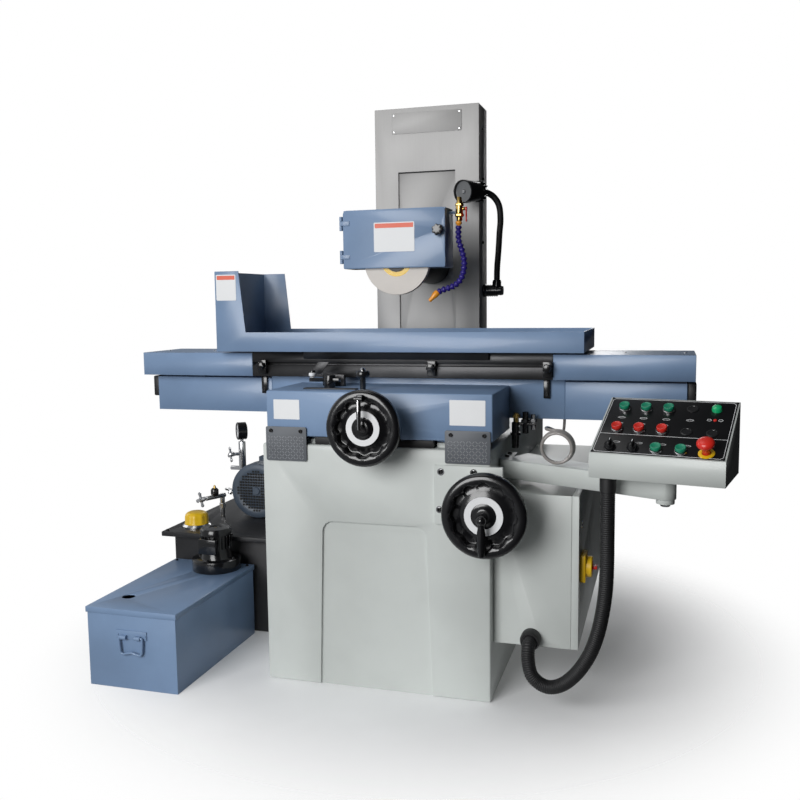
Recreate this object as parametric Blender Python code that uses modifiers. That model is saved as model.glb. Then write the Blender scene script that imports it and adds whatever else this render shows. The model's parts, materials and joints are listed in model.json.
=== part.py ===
"""Hydraulic surface grinder with a 250 x 550 mm table, modelled as separate parts.

Frame: +X to the operator's right, +Y away from the operator, +Z up, in metres.
The origin is the centre of the base casting's underside.
Distances along Y are given behind the base's front face and shifted by FRONT.
"""
import math

import bmesh
import bpy
from mathutils import Matrix, Vector

# ---------------------------------------------------------------- driving dimensions
GAP = 0.0004                # clearance between parts that rest on each other
BASE_HALF = 0.319           # half the base casting's width
BASE_DEPTH = 1.000
BASE_TOP = 0.674
FRONT = -BASE_DEPTH / 2     # the base's front face

APRON_X = (-0.304, 0.325)   # front box of the saddle
APRON_DEPTH = 0.255
APRON_Z = (0.696, 0.820)
SADDLE_X = (-0.400, 0.479)  # cross body that carries the table ways
SADDLE_Y = (0.250, 0.410)
SADDLE_Z = (0.728, 0.834)
SADDLE_REAR = 0.580         # leaves room for the cross travel in front of the column
RAIL_END = 0.712
WING_END_L = -0.791
WING_END_R = 0.800

TABLE_X = (-0.445, 0.450)   # bare casting between the way covers
TABLE_Y = (0.212, 0.439)
TABLE_Z = (0.840, 0.9135)
TABLE_TOP = 0.952
WORK_X = 0.275              # half of the 550 mm ground face
WORK_Y = (0.200, 0.450)
COVER_END_L = -0.817
COVER_END_R = 0.820
COVER_Z = (0.840, 0.909)
SHEET = 0.003

TRAY_X = (-0.545, 0.536)
TRAY_Y = (0.180, 0.517)
TRAY_Z = 0.915
TRAY_RIM = 0.972
GUARD_RIM = 1.152

COLUMN_X = -0.035           # centre of the column
COLUMN_Y = 0.718            # front of its stainless cover
COLUMN_TOP = 1.696
COVER_HALF = 0.178
WINDOW_HALF = 0.0975
WINDOW_Z = (0.760, 1.487)

SPINDLE = (-0.020, 1.177)   # x and z of the wheel spindle
WHEEL_R = 0.100
WHEEL_Y = (0.312, 0.332)
BORE_R = 0.0162
HOOD_X = (-0.180, 0.130)
HOOD_Y = (0.305, 0.399)
HOOD_Z = (1.155, 1.325)

CROSS_WHEEL = (0.008, -0.091, 0.737)
CROSS_WHEEL_R = 0.099
LIFT_WHEEL = (0.322, -0.101, 0.529)
LIFT_WHEEL_R = 0.1075

CABINET_X = (0.3195, 0.522)
CABINET_Y = (0.035, 0.850)
CABINET_Z = (0.155, 0.560)
DOOR_X = (0.5225, 0.541)

ARM_Z = (0.587, 0.635)
ARM_BOSS = (0.750, -0.062)
PANEL_ORIGIN = (0.574, -0.103, 0.638)
PANEL_YAW = math.radians(-11.7)
PANEL_W, PANEL_D = 0.3094, 0.201
PANEL_FRONT_H, PANEL_BACK_H = 0.059, 0.171
PANEL_SLOPE = math.atan2(PANEL_BACK_H - PANEL_FRONT_H, PANEL_D)

TANK_X = (-0.787, -0.511)
TANK_Y = (-0.170, 0.306)
TANK_TOP = 0.222
PUMP = (-0.606, 0.246)
OIL_X = (-0.800, -0.375)
OIL_Y = (0.325, 0.850)
OIL_TOP = 0.300
OIL_COVER_TOP = 0.316
FILLER = (-0.757, 0.395)
MOTOR = (-0.604, 0.412)
RISER = (-0.765, 0.760)

CONDUIT_R = 0.018
LAMP_POST = (0.189, 0.790)

# ---------------------------------------------------------------- scene and helpers
for old in list(bpy.data.objects):
    bpy.data.objects.remove(old)

grinder = bpy.data.collections.new("surface_grinder")
cutters = bpy.data.collections.new("cutters")
for group in (grinder, cutters):
    bpy.context.scene.collection.children.link(group)


def paint(name, colour, roughness, metallic=0.0):
    """A Principled material in one colour."""
    mat = bpy.data.materials.new(name)
    mat.use_nodes = True
    shader = mat.node_tree.nodes["Principled BSDF"]
    shader.inputs["Base Color"].default_value = (*colour, 1.0)
    shader.inputs["Roughness"].default_value = roughness
    shader.inputs["Metallic"].default_value = metallic
    mat.diffuse_color = (*colour, 1.0)
    return mat


BLUE = paint("blue_paint", (0.20, 0.29, 0.44), 0.35)
CREAM = paint("cream_paint", (0.55, 0.58, 0.55), 0.40)
IRON = paint("cast_iron", (0.12, 0.12, 0.12), 0.50, 0.8)
STEEL = paint("bright_steel", (0.60, 0.59, 0.57), 0.30, 1.0)
BLACK = paint("black_plastic", (0.015, 0.015, 0.016), 0.35)
CHARCOAL = paint("charcoal_paint", (0.04, 0.04, 0.04), 0.55)
MOTOR_GREY = paint("motor_grey", (0.07, 0.10, 0.14), 0.45)
ABRASIVE = paint("white_abrasive", (0.80, 0.76, 0.70), 0.90)
RED = paint("red_plastic", (0.70, 0.04, 0.02), 0.35)
GREEN = paint("green_plastic", (0.01, 0.28, 0.16), 0.35)
YELLOW = paint("yellow_plastic", (0.85, 0.52, 0.01), 0.40)
BRASS = paint("brass", (0.60, 0.42, 0.14), 0.30, 1.0)
HOSE_BLUE = paint("hose_blue", (0.03, 0.02, 0.22), 0.40)
CLEAR = paint("clear_hose", (0.45, 0.42, 0.40), 0.25)


def world(x, y, z):
    """A point given with y behind the base's front face."""
    return Vector((x, y + FRONT, z))


def add(name, mesh, material, location=(0, 0, 0), rotation=None):
    obj = bpy.data.objects.new(name, mesh)
    grinder.objects.link(obj)
    if material:
        mesh.materials.append(material)
    obj.location = location
    if rotation is not None:
        obj.rotation_euler = rotation.to_euler()
    return obj


def box(name, x, y, z, material=None, bevel=0.0):
    """A block between the given limits, centred on its own origin."""
    mesh = bpy.data.meshes.new(name)
    bm = bmesh.new()
    size = (x[1] - x[0], y[1] - y[0], z[1] - z[0])
    bmesh.ops.create_cube(bm, size=1.0, matrix=Matrix.Diagonal((*size, 1.0)))
    bm.to_mesh(mesh)
    bm.free()
    middle = world((x[0] + x[1]) / 2, (y[0] + y[1]) / 2, (z[0] + z[1]) / 2)
    obj = add(name, mesh, material, middle)
    if bevel:
        round_edges(obj, bevel)
    return obj


def round_edges(obj, width, segments=2):
    mod = obj.modifiers.new("rounded edges", "BEVEL")
    mod.width = width
    mod.segments = segments
    mod.limit_method = "ANGLE"
    return mod


AXES = {
    "z": Matrix.Identity(3),
    "y": Matrix.Rotation(-math.pi / 2, 3, "X"),    # local +Z towards +Y
    "-y": Matrix.Rotation(math.pi / 2, 3, "X"),    # local +Z towards the operator
    "x": Matrix.Rotation(math.pi / 2, 3, "Y"),
    "-x": Matrix.Rotation(-math.pi / 2, 3, "Y"),
}


def rod(name, centre, axis, radius, length, material=None, segments=24, top_radius=None):
    """A cylinder or cone that starts at centre and runs along axis."""
    mesh = bpy.data.meshes.new(name)
    bm = bmesh.new()
    end = radius if top_radius is None else top_radius
    bmesh.ops.create_cone(bm, cap_ends=True, segments=segments, radius1=radius,
                          radius2=end, depth=length,
                          matrix=Matrix.Translation((0, 0, length / 2)))
    bm.to_mesh(mesh)
    bm.free()
    turn = AXES[axis] if isinstance(axis, str) else axis
    return add(name, mesh, material, world(*centre), turn)


def turned(name, profile, centre, axis, material=None, segments=32, closed=False):
    """A turned shape. The profile runs down its outer side as (radius, height)."""
    mesh = bpy.data.meshes.new(name)
    count = len(profile)
    edges = [(i, i + 1) for i in range(count - 1)]
    if closed:
        edges.append((count - 1, 0))
    mesh.from_pydata([(r, 0.0, h) for r, h in profile], edges, [])
    turn = AXES[axis] if isinstance(axis, str) else axis
    obj = add(name, mesh, material, world(*centre), turn)
    mod = obj.modifiers.new("turned", "SCREW")
    mod.steps = mod.render_steps = segments
    mod.use_merge_vertices = True
    mod.merge_threshold = 1e-5
    return obj


def curve_mesh(name, curve, matrix, material):
    """Turns a curve into a welded mesh object, so that it can be cut or joined."""
    guide = bpy.data.objects.new(name + "_guide", curve)
    grinder.objects.link(guide)
    guide.matrix_world = matrix
    bpy.context.view_layer.update()
    graph = bpy.context.evaluated_depsgraph_get()
    mesh = bpy.data.meshes.new_from_object(guide.evaluated_get(graph))
    bm = bmesh.new()
    bm.from_mesh(mesh)
    bmesh.ops.remove_doubles(bm, verts=bm.verts, dist=1e-6)
    bm.to_mesh(mesh)
    bm.free()
    bpy.data.objects.remove(guide)
    mesh.materials.clear()
    obj = add(name, mesh, material)
    obj.matrix_world = matrix
    return obj


def plate(name, outlines, thickness, matrix, material=None):
    """A flat plate from one outline and its holes, thickness upwards in its frame."""
    curve = bpy.data.curves.new(name, "CURVE")
    curve.dimensions = "2D"
    curve.fill_mode = "BOTH"
    curve.extrude = thickness / 2
    for points in outlines:
        spline = curve.splines.new("POLY")
        spline.points.add(len(points) - 1)
        for target, (u, v) in zip(spline.points, points):
            target.co = (u, v, 0.0, 1.0)
        spline.use_cyclic_u = True
    return curve_mesh(name, curve, matrix @ Matrix.Translation((0, 0, thickness / 2)), material)


def circle(u, v, radius, count=20):
    return [(u + radius * math.cos(2 * math.pi * i / count),
             v + radius * math.sin(2 * math.pi * i / count)) for i in range(count)]


def rounded(points, radii, steps=4):
    """An outline whose corners are replaced with arcs of the given radii."""
    out = []
    count = len(points)
    for i, (corner, radius) in enumerate(zip(points, radii)):
        corner = Vector(corner)
        before = (Vector(points[i - 1]) - corner).normalized()
        after = (Vector(points[(i + 1) % count]) - corner).normalized()
        if radius <= 0:
            out.append(tuple(corner))
            continue
        half = before.angle(after) / 2
        reach = radius / math.tan(half)
        middle = corner + (before + after).normalized() * (radius / math.sin(half))
        start = corner + before * reach - middle
        turn = start.angle_signed(corner + after * reach - middle)
        for k in range(steps + 1):
            arm = start.copy()
            arm.rotate(Matrix.Rotation(-turn * k / steps, 2))
            out.append(tuple(middle + arm))
    return out


def smooth(points, steps=4):
    """Points along a Catmull-Rom curve through the given ones."""
    path = [Vector(p) for p in points]
    path = [2 * path[0] - path[1]] + path + [2 * path[-1] - path[-2]]
    out = []
    for a, b, c, d in zip(path, path[1:], path[2:], path[3:]):
        for k in range(steps):
            t = k / steps
            out.append(0.5 * (2 * b + (c - a) * t + (2 * a - 5 * b + 4 * c - d) * t * t
                              + (3 * b - a - 3 * c + d) * t ** 3))
    return out + [path[-2]]


def tube_curve(name, points, radius, resolution=2):
    curve = bpy.data.curves.new(name, "CURVE")
    curve.dimensions = "3D"
    curve.bevel_depth = radius
    curve.bevel_resolution = resolution
    curve.use_fill_caps = True
    spline = curve.splines.new("POLY")
    spline.points.add(len(points) - 1)
    for target, point in zip(spline.points, points):
        target.co = (*point, 1.0)
    return curve


def tube(name, points, radius, material, resolution=2):
    """A round tube along points that are given with y behind the base's front."""
    curve = tube_curve(name, [world(*p) for p in points], radius, resolution)
    curve.materials.append(material)
    obj = bpy.data.objects.new(name, curve)
    grinder.objects.link(obj)
    return obj


def tool(obj):
    """Marks an object as a cutter or an addition, which isn't a part."""
    grinder.objects.unlink(obj)
    cutters.objects.link(obj)
    obj.display_type = "WIRE"
    obj.hide_render = True
    return obj


def boolean(obj, other, operation):
    mod = obj.modifiers.new(operation.lower(), "BOOLEAN")
    mod.operation = operation
    mod.solver = "EXACT"
    mod.object = tool(other)


def cut(obj, *others):
    for other in others:
        boolean(obj, other, "DIFFERENCE")
    return obj


def join(obj, *others):
    for other in others:
        boolean(obj, other, "UNION")
    return obj


def pivot(name, point, parent=None):
    """An empty on a joint's axis, which moving pieces are parented to."""
    empty = bpy.data.objects.new(name, None)
    grinder.objects.link(empty)
    empty.empty_display_size = 0.05
    empty.location = world(*point)
    if parent:
        hold(parent, empty)
    return empty


def hold(parent, *objects):
    """Parents objects and keeps them where they are."""
    bpy.context.view_layer.update()
    for obj in objects:
        obj.parent = parent
        obj.matrix_parent_inverse = parent.matrix_world.inverted()


def shade(obj, angle=35):
    """Smooth shading with sharp edges on a mesh."""
    obj.data.shade_smooth()
    obj.data.set_sharp_from_angle(angle=math.radians(angle))
    return obj


# ---------------------------------------------------------------- base and column
def make_base():
    """Hollow base casting with the saddle ways, the feed boss and its cross web."""
    wall, deck, web = 0.028, 0.034, 0.040
    base = box("base_casting", (-BASE_HALF, BASE_HALF), (0, BASE_DEPTH), (0, BASE_TOP),
               CREAM, 0.006)
    middle = BASE_DEPTH / 2
    for near, far in ((wall, middle - web), (middle + web, BASE_DEPTH - wall)):
        cut(base, box("base_hollow", (-BASE_HALF + wall, BASE_HALF - wall), (near, far),
                      (-0.01, BASE_TOP - deck)))
    low, high, top, depth = 0.162, 0.146, 0.465, 0.008
    outline = rounded([(-low, -0.01), (low, -0.01), (high, top), (-high, top)],
                      (0, 0, 0.030, 0.030))
    upright = Matrix.Translation(world(0, depth, 0)) @ Matrix.Rotation(math.pi / 2, 4, "X")
    cut(base, plate("base_recess", [outline], depth + 0.01, upright))
    for side in (-1, 1):
        rail = sorted((side * 0.170, side * 0.230))
        join(base, box("saddle_rail", rail, (0.030, RAIL_END), (BASE_TOP - 0.01, 0.686)))
    join(base, box("feed_plate", (0.172, 0.352), (-0.010, 0.004), (0.478, 0.634)))
    x, y, z = LIFT_WHEEL
    join(base, rod("feed_boss", (x, 0.002, z), "-y", 0.036, 0.070))
    cut(base, rod("feed_bore", (x, -0.012, z), "-y", 0.0124, 0.070, segments=20))
    return base


def make_column():
    """Portal-shaped casting: two walls, a foot and a head, with its stainless cover."""
    x = (COLUMN_X - 0.120, COLUMN_X + 0.120)
    column = box("column_casting", x, (0.735, 0.965), (BASE_TOP + GAP, COLUMN_TOP - 0.006),
                 CREAM)
    cut(column, box("column_way", (COLUMN_X - 0.090, COLUMN_X + 0.090), (0.70, 1.00),
                    (0.760, 1.640)))

    edge, skin = 0.130, 0.003
    span = (COLUMN_X - COVER_HALF, COLUMN_X + COVER_HALF)
    cover = box("column_front_cover", span, (COLUMN_Y, COLUMN_Y + edge),
                (0.690, COLUMN_TOP), STEEL)
    cut(cover, box("cover_inside", (span[0] + skin, span[1] - skin),
                   (COLUMN_Y + skin, COLUMN_Y + edge + 0.01), (0.680, COLUMN_TOP - skin)))
    cut(cover, box("cover_window", (COLUMN_X - WINDOW_HALF, COLUMN_X + WINDOW_HALF),
                   (COLUMN_Y - 0.01, COLUMN_Y + 0.01), WINDOW_Z))
    return column, cover


def make_cabinet():
    """Electrical cabinet on the base's right side, its door, gland and main switch."""
    skin = 0.003
    cabinet = box("electrical_cabinet", CABINET_X, CABINET_Y, CABINET_Z, CREAM)
    cut(cabinet, box("cabinet_inside", (CABINET_X[0] + skin, CABINET_X[1] + 0.01),
                     (CABINET_Y[0] + skin, CABINET_Y[1] - skin),
                     (CABINET_Z[0] + skin, CABINET_Z[1] - skin)))
    join(cabinet, rod("conduit_gland", (0.420, CABINET_Y[0] + 0.001, 0.177), "-y",
                      0.024, 0.026))

    hinge = pivot("cabinet_hinge", (DOOR_X[0], CABINET_Y[1], CABINET_Z[0]))
    door = box("cabinet_door", DOOR_X, CABINET_Y, CABINET_Z, CREAM)
    cut(door, box("door_inside", (DOOR_X[0] - 0.01, DOOR_X[1] - skin),
                  (CABINET_Y[0] + skin, CABINET_Y[1] - skin),
                  (CABINET_Z[0] + skin, CABINET_Z[1] - skin)))
    y, z, hole = 0.095, 0.362, 0.0055
    cut(door, rod("switch_hole", (0.500, y, z), "x", hole, 0.060, segments=16))
    knob = rod("main_switch_knob", (DOOR_X[1] + 0.031, y, z), "x", 0.016, 0.018, RED)
    join(knob, rod("switch_shaft", (0.530, y, z), "x", 0.005, 0.045, segments=16),
         box("switch_bar", (DOOR_X[1] + 0.045, DOOR_X[1] + 0.058), (y - 0.005, y + 0.005),
             (z - 0.021, z + 0.021)))
    hold(hinge, door)
    switch = pivot("main_switch_axis", (DOOR_X[1], y, z), hinge)
    hold(switch, knob)


# ---------------------------------------------------------------- coolant and hydraulics
def make_coolant_tank():
    skin, lip = 0.003, 0.012
    tank = box("coolant_tank", TANK_X, TANK_Y, (0, TANK_TOP), BLUE)
    cut(tank, box("tank_inside", (TANK_X[0] + skin, TANK_X[1] - skin),
                  (TANK_Y[0] + skin, TANK_Y[1] - skin), (skin, TANK_TOP + 0.01)))

    over = (TANK_X[0] - skin - GAP, TANK_X[1] + skin + GAP)
    behind = (TANK_Y[0] - skin - GAP, TANK_Y[1] + skin + GAP)
    lid = box("coolant_tank_lid", over, behind, (TANK_TOP - lip, TANK_TOP + 0.004), BLUE)
    cut(lid, box("lid_inside", (over[0] + skin, over[1] - skin),
                 (behind[0] + skin, behind[1] - skin), (TANK_TOP - 0.05, TANK_TOP + GAP)))
    cut(lid, rod("lid_hole", (-0.720, -0.068, 0.1), "z", 0.019, 0.2),
        rod("pump_hole", (*PUMP, 0.1), "z", 0.036, 0.2))

    x, y = PUMP
    turned("coolant_pump", [
        (0, 0.357), (0.034, 0.357), (0.042, 0.350), (0.042, 0.290), (0.048, 0.262),
        (0.076, 0.262), (0.076, TANK_TOP + 0.0044), (0.030, TANK_TOP + 0.0044),
        (0.030, 0.040), (0, 0.040)], (x, y, 0), "z", BLACK, 28)

    middle, top = -0.647, 0.150
    ear, wire, drop = 0.026, 0.0035, 0.042
    front = TANK_Y[0] - 0.008
    hinge = pivot("tank_handle_axis", (middle, front, top))
    half = ear + 0.008
    handle = tube("tank_handle", [
        (middle - half + 0.010, front, top), (middle - half, front, top),
        (middle - half - 0.002, front, top - 0.006),
        (middle - half - 0.002, front, top - drop),
        (middle - half + 0.004, front, top - drop - 0.006),
        (middle + half - 0.004, front, top - drop - 0.006),
        (middle + half + 0.002, front, top - drop),
        (middle + half + 0.002, front, top - 0.006), (middle + half, front, top),
        (middle + half - 0.010, front, top)], wire, BLUE)
    hold(hinge, handle)


def make_hydraulic_unit():
    """Oil tank with its cover, pump motor, filler cap and pressure manifold."""
    skin = 0.004
    oil = box("hydraulic_tank", OIL_X, OIL_Y, (0, OIL_TOP), CHARCOAL)
    cut(oil, box("oil_inside", (OIL_X[0] + skin, OIL_X[1] - skin),
                 (OIL_Y[0] + skin, OIL_Y[1] - skin), (skin, OIL_TOP + 0.01)))
    cover = box("hydraulic_tank_cover", (-0.835, -0.345), (0.300, 0.870),
                (OIL_TOP + GAP, OIL_COVER_TOP), BLACK, 0.002)
    cut(cover, rod("filler_hole", (*FILLER, 0.25), "z", 0.028, 0.1))

    x, z = MOTOR
    motor = rod("hydraulic_motor", (x, 0.540, z), "y", 0.0935, 0.062, MOTOR_GREY, 36)
    join(motor, rod("motor_body", (x, 0.595, z), "y", 0.080, 0.205, segments=36),
         box("motor_feet", (x - 0.070, x + 0.070), (0.630, 0.760),
             (OIL_COVER_TOP + GAP, 0.345)),
         box("terminal_box", (x - 0.036, x + 0.036), (0.640, 0.730), (0.470, 0.515)))

    hinge = pivot("filler_axis", (*FILLER, OIL_COVER_TOP))
    cap = turned("filler_cap", [
        (0, 0.366), (0.033, 0.366), (0.038, 0.361), (0.038, 0.329), (0.042, 0.327),
        (0.042, OIL_COVER_TOP + GAP), (0.026, OIL_COVER_TOP + GAP), (0.026, 0.285),
        (0, 0.285)], (*FILLER, 0), "z", YELLOW, 24)
    hold(hinge, cap)

    x, y = RISER
    manifold = rod("hydraulic_manifold", (x, y, OIL_COVER_TOP + GAP), "z", 0.009, 0.140,
                   STEEL, 16)
    join(manifold, rod("valve_body", (x, y, 0.450), "z", 0.013, 0.096, segments=16),
         rod("side_fitting", (x + 0.013, y, 0.446), "-x", 0.008, 0.060, segments=12),
         rod("gauge_stem", (x, y, 0.540), "z", 0.006, 0.020, segments=12),
         rod("gauge", (x + 0.014, y + 0.010, 0.586), turn_to(-0.8, -0.6), 0.030, 0.030,
             segments=28))


def turn_to(x, y, z=0.0):
    """The turn that points a shape's own +Z along the given direction."""
    return Vector((x, y, z)).to_track_quat("Z", "Y").to_matrix()


# ---------------------------------------------------------------- control panel
def panel_frame():
    """The panel housing's own frame: +X to the right, +Y back, +Z up."""
    return Matrix.Translation(world(*PANEL_ORIGIN)) @ Matrix.Rotation(PANEL_YAW, 4, "Z")


def face_frame():
    """The sloped face's frame: +X to the right, +Y up the slope, +Z out of it."""
    lift = Matrix.Translation((0, 0, PANEL_FRONT_H))
    return panel_frame() @ lift @ Matrix.Rotation(PANEL_SLOPE, 4, "X")


COLUMNS = (0.045, 0.098, 0.152, 0.208, 0.264)
ROWS = {"upper": 0.181, "middle": 0.097, "lower": 0.024}


def on_face(name, profile, column, row, material, segments=20):
    """A turned control on the sloped face, with heights measured out of the face."""
    obj = turned(name, profile, (0, 0, 0), "z", material, segments)
    obj.matrix_world = face_frame() @ Matrix.Translation((COLUMNS[column], ROWS[row], 0))
    return obj


def make_control_panel():
    """Fixed arm on the base's side, and the housing that swivels on its boss."""
    along = Vector((0.8988, -0.4384))
    across = Vector((0.4384, 0.8988))
    corner = Vector((0.325, 0.105))
    boss, radius = Vector(ARM_BOSS), 0.025
    turns = [boss + radius * (along * math.cos(a) + across * math.sin(a))
             for a in [math.radians(d) for d in range(-90, 91, 20)]]
    outline = [tuple(corner)] + [tuple(p) for p in turns] + [tuple(corner + across * 0.130)]
    level = Matrix.Translation(world(0, 0, ARM_Z[0]))
    arm = plate("control_arm", [outline], ARM_Z[1] - ARM_Z[0], level, CREAM)
    inner = [tuple(corner + along * 0.012 + across * 0.005),
             tuple(boss - along * 0.045 - across * 0.017),
             tuple(boss - along * 0.045 + across * 0.026),
             tuple(corner + along * 0.012 + across * 0.125)]
    under = Matrix.Translation(world(0, 0, ARM_Z[0] - 0.01))
    cut(arm, plate("arm_hollow", [inner], ARM_Z[1] - ARM_Z[0] + 0.006, under))
    join(arm, rod("arm_boss", (*ARM_BOSS, ARM_Z[0] - 0.010), "z", 0.0215, 0.018),
         rod("swivel_spigot", (*ARM_BOSS, ARM_Z[1] - 0.01), "z", 0.015, 0.030, segments=20),
         box("arm_foot", (BASE_HALF + GAP, 0.352), (0.118, 0.226), ARM_Z))

    swivel = pivot("panel_swivel", (*ARM_BOSS, PANEL_ORIGIN[2]))
    skin = 0.003

    def side(inset):
        slope = inset * (1 / math.cos(PANEL_SLOPE) - math.tan(PANEL_SLOPE))
        return [(inset, inset), (PANEL_D - inset, inset),
                (PANEL_D - inset, PANEL_BACK_H - inset * (1 / math.cos(PANEL_SLOPE)
                                                          + math.tan(PANEL_SLOPE))),
                (inset, PANEL_FRONT_H - slope)]

    # the profile's own axes: u is the housing's +Y, v its +Z, and its thickness runs along +X
    sideways = Matrix(((0, 0, 1, 0), (1, 0, 0, 0), (0, 1, 0, 0), (0, 0, 0, 1)))
    frame = panel_frame() @ sideways
    housing = plate("control_panel", [side(0)], PANEL_W, frame, CREAM)
    cut(housing, plate("panel_inside", [side(skin)], PANEL_W - 2 * skin,
                       frame @ Matrix.Translation((0, 0, skin))))
    cut(housing, rod("swivel_hole", (*ARM_BOSS, PANEL_ORIGIN[2] - 0.02), "z", 0.0154, 0.05,
                     segments=20))
    hold(swivel, housing)

    def hole(radius, column, row):
        cutter = on_face("panel_hole", [(0, 0.02), (radius, 0.02), (radius, -0.02), (0, -0.02)],
                         column, row, None, 12)
        cut(housing, cutter)

    stem, cap = 0.0070, 0.0125
    button = [(0, 0.0165), (0.0115, 0.0165), (cap, 0.0155), (cap, 0.0075), (stem, 0.0070),
              (stem, -0.012), (0, -0.012)]
    pushes = (
        ("start_button_1", 0, "upper", GREEN), ("start_button_2", 1, "upper", GREEN),
        ("start_button_3", 2, "upper", GREEN), ("stop_button_1", 0, "middle", RED),
        ("stop_button_2", 1, "middle", RED), ("stop_button_3", 2, "middle", RED),
        ("jog_button_left", 2, "lower", GREEN), ("jog_button_right", 3, "lower", GREEN))
    for name, column, row, colour in pushes:
        hole(0.0074, column, row)
        hold(swivel, on_face(name, button, column, row, colour, 14))

    hole(0.0104, 4, "lower")
    mushroom = [(0, 0.041), (0.014, 0.039), (0.020, 0.034), (0.020, 0.026), (0.012, 0.021),
                (0.010, 0.016), (0.010, -0.012), (0, -0.012)]
    hold(swivel, on_face("emergency_stop", mushroom, 4, "lower", RED, 18))

    dial = [(0, 0.014), (0.0105, 0.014), (0.0120, 0.012), (0.0120, 0.002), (0.0060, 0.0015),
            (0.0060, -0.012), (0, -0.012)]
    for name, column in (("selector_left", 0), ("selector_right", 1)):
        hole(0.0064, column, "lower")
        knob = on_face(name, dial, column, "lower", BLACK, 16)
        bar = box(name + "_bar", (-0.0035, 0.0035), (-0.0110, 0.0110), (0.010, 0.021))
        bar.matrix_world = knob.matrix_world @ Matrix.Translation((0, 0, 0.0155))
        join(knob, bar)
        hold(swivel, knob)


CONDUIT_ROUTE = (
    (0.420, 0.0096, 0.177), (0.420, 0.0020, 0.177), (0.420, -0.018, 0.168),
    (0.422, -0.031, 0.141), (0.431, -0.040, 0.110), (0.450, -0.045, 0.092), (0.475, -0.052, 0.086),
    (0.502, -0.058, 0.094), (0.528, -0.064, 0.114), (0.555, -0.070, 0.147),
    (0.580, -0.074, 0.192), (0.598, -0.077, 0.245), (0.609, -0.078, 0.300),
    (0.616, -0.078, 0.360), (0.618, -0.078, 0.420), (0.618, -0.078, 0.480),
    (0.618, -0.078, 0.540), (0.618, -0.078, 0.600), (0.618, -0.078, 0.6376))


def make_conduit():
    """Corrugated conduit from the cabinet's gland up to the panel's underside."""
    start, *rest = [Vector(p) for p in CONDUIT_ROUTE]
    tube("conduit", [start] + smooth(rest, 2), CONDUIT_R, BLACK, 2)


# ---------------------------------------------------------------- saddle
def make_saddle(slide):
    """Saddle casting: front apron, cross body with the table ways, and its runners."""
    wall = 0.016
    rear = (SADDLE_Y[1], SADDLE_REAR + 0.02)
    saddle = box("saddle_casting", APRON_X, (0, APRON_DEPTH), APRON_Z, BLUE, 0.004)
    join(saddle, box("cross_body", SADDLE_X, (SADDLE_Y[0], SADDLE_REAR), SADDLE_Z))
    cut(saddle, box("rear_relief_left", (SADDLE_X[0] - 0.01, -0.250), rear, (0.70, 0.85)),
        box("rear_relief_right", (0.250, SADDLE_X[1] + 0.01), rear, (0.70, 0.85)),
        box("rear_step", (-0.26, 0.26), (rear[0] + 0.010, rear[1]), (0.760, 0.85)),
        box("apron_hollow", (APRON_X[0] + wall, APRON_X[1] - wall),
            (wall, APRON_DEPTH - wall), (0.68, APRON_Z[1] - wall)),
        box("body_hollow_left", (SADDLE_X[0] + wall, -0.010),
            (SADDLE_Y[0] + wall, SADDLE_Y[1] - wall), (0.70, SADDLE_Z[1] - 0.024)),
        box("body_hollow_right", (0.010, SADDLE_X[1] - wall),
            (SADDLE_Y[0] + wall, SADDLE_Y[1] - wall), (0.70, SADDLE_Z[1] - 0.024)))
    for side in (-1, 1):
        join(saddle, box("runner", sorted((side * 0.168, side * 0.232)), (0.040, SADDLE_REAR - 0.002),
                         (0.686 + GAP, 0.745)))
    x, _, z = CROSS_WHEEL
    join(saddle, rod("feed_screw_boss", (x, 0.004, z), "-y", 0.030, 0.040, segments=24))
    cut(saddle, rod("feed_screw_bore", (x, 0.10, z), "-y", 0.0114, 0.16, segments=16))
    for side in (-1, 1):
        way = sorted((side * 0.052, side * 0.080))
        middle = (SADDLE_Y[0] + SADDLE_Y[1]) / 2
        join(saddle, box("table_way", SADDLE_X, (middle + way[0], middle + way[1]),
                         (SADDLE_Z[1] - 0.01, TABLE_Z[0] - GAP)))
    hold(slide, saddle)

    skin = 0.003
    for name, x in (("saddle_wing_left", (WING_END_L, SADDLE_X[0] - GAP)),
                    ("saddle_wing_right", (SADDLE_X[1] + GAP, WING_END_R))):
        wing = box(name, x, SADDLE_Y, (SADDLE_Z[0], SADDLE_Z[1] - 0.002), BLUE)
        cut(wing, box(name + "_inside", (x[0] + skin, x[1] - skin),
                      (SADDLE_Y[0] + skin, SADDLE_Y[1] - skin), (0.70, SADDLE_Z[1] - 0.006)))
        hold(slide, wing)


def wheel_profile(radius, depth, shaft_radius, shaft_length):
    """Dished handwheel on its shaft: round rim, web that falls back, raised hub."""
    rim, hub, half = 0.013, 0.024, depth / 2
    return [
        (0, half - 0.003), (0.046, half - 0.002), (0.050, half - 0.008),
        (radius - 0.034, -half + 0.012), (radius - 0.024, half - rim * 0.4),
        (radius - rim * 1.2, half), (radius - rim * 0.4, half - 0.003),
        (radius, half - rim * 0.8), (radius, -half + 0.010), (radius - 0.004, -half + 0.003),
        (radius - 0.016, -half), (radius - 0.026, -half + 0.004), (0.040, -half + 0.006),
        (hub, -half - 0.004), (hub, -half - 0.010), (shaft_radius, -half - 0.010),
        (shaft_radius, -shaft_length), (0, -shaft_length)]


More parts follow.
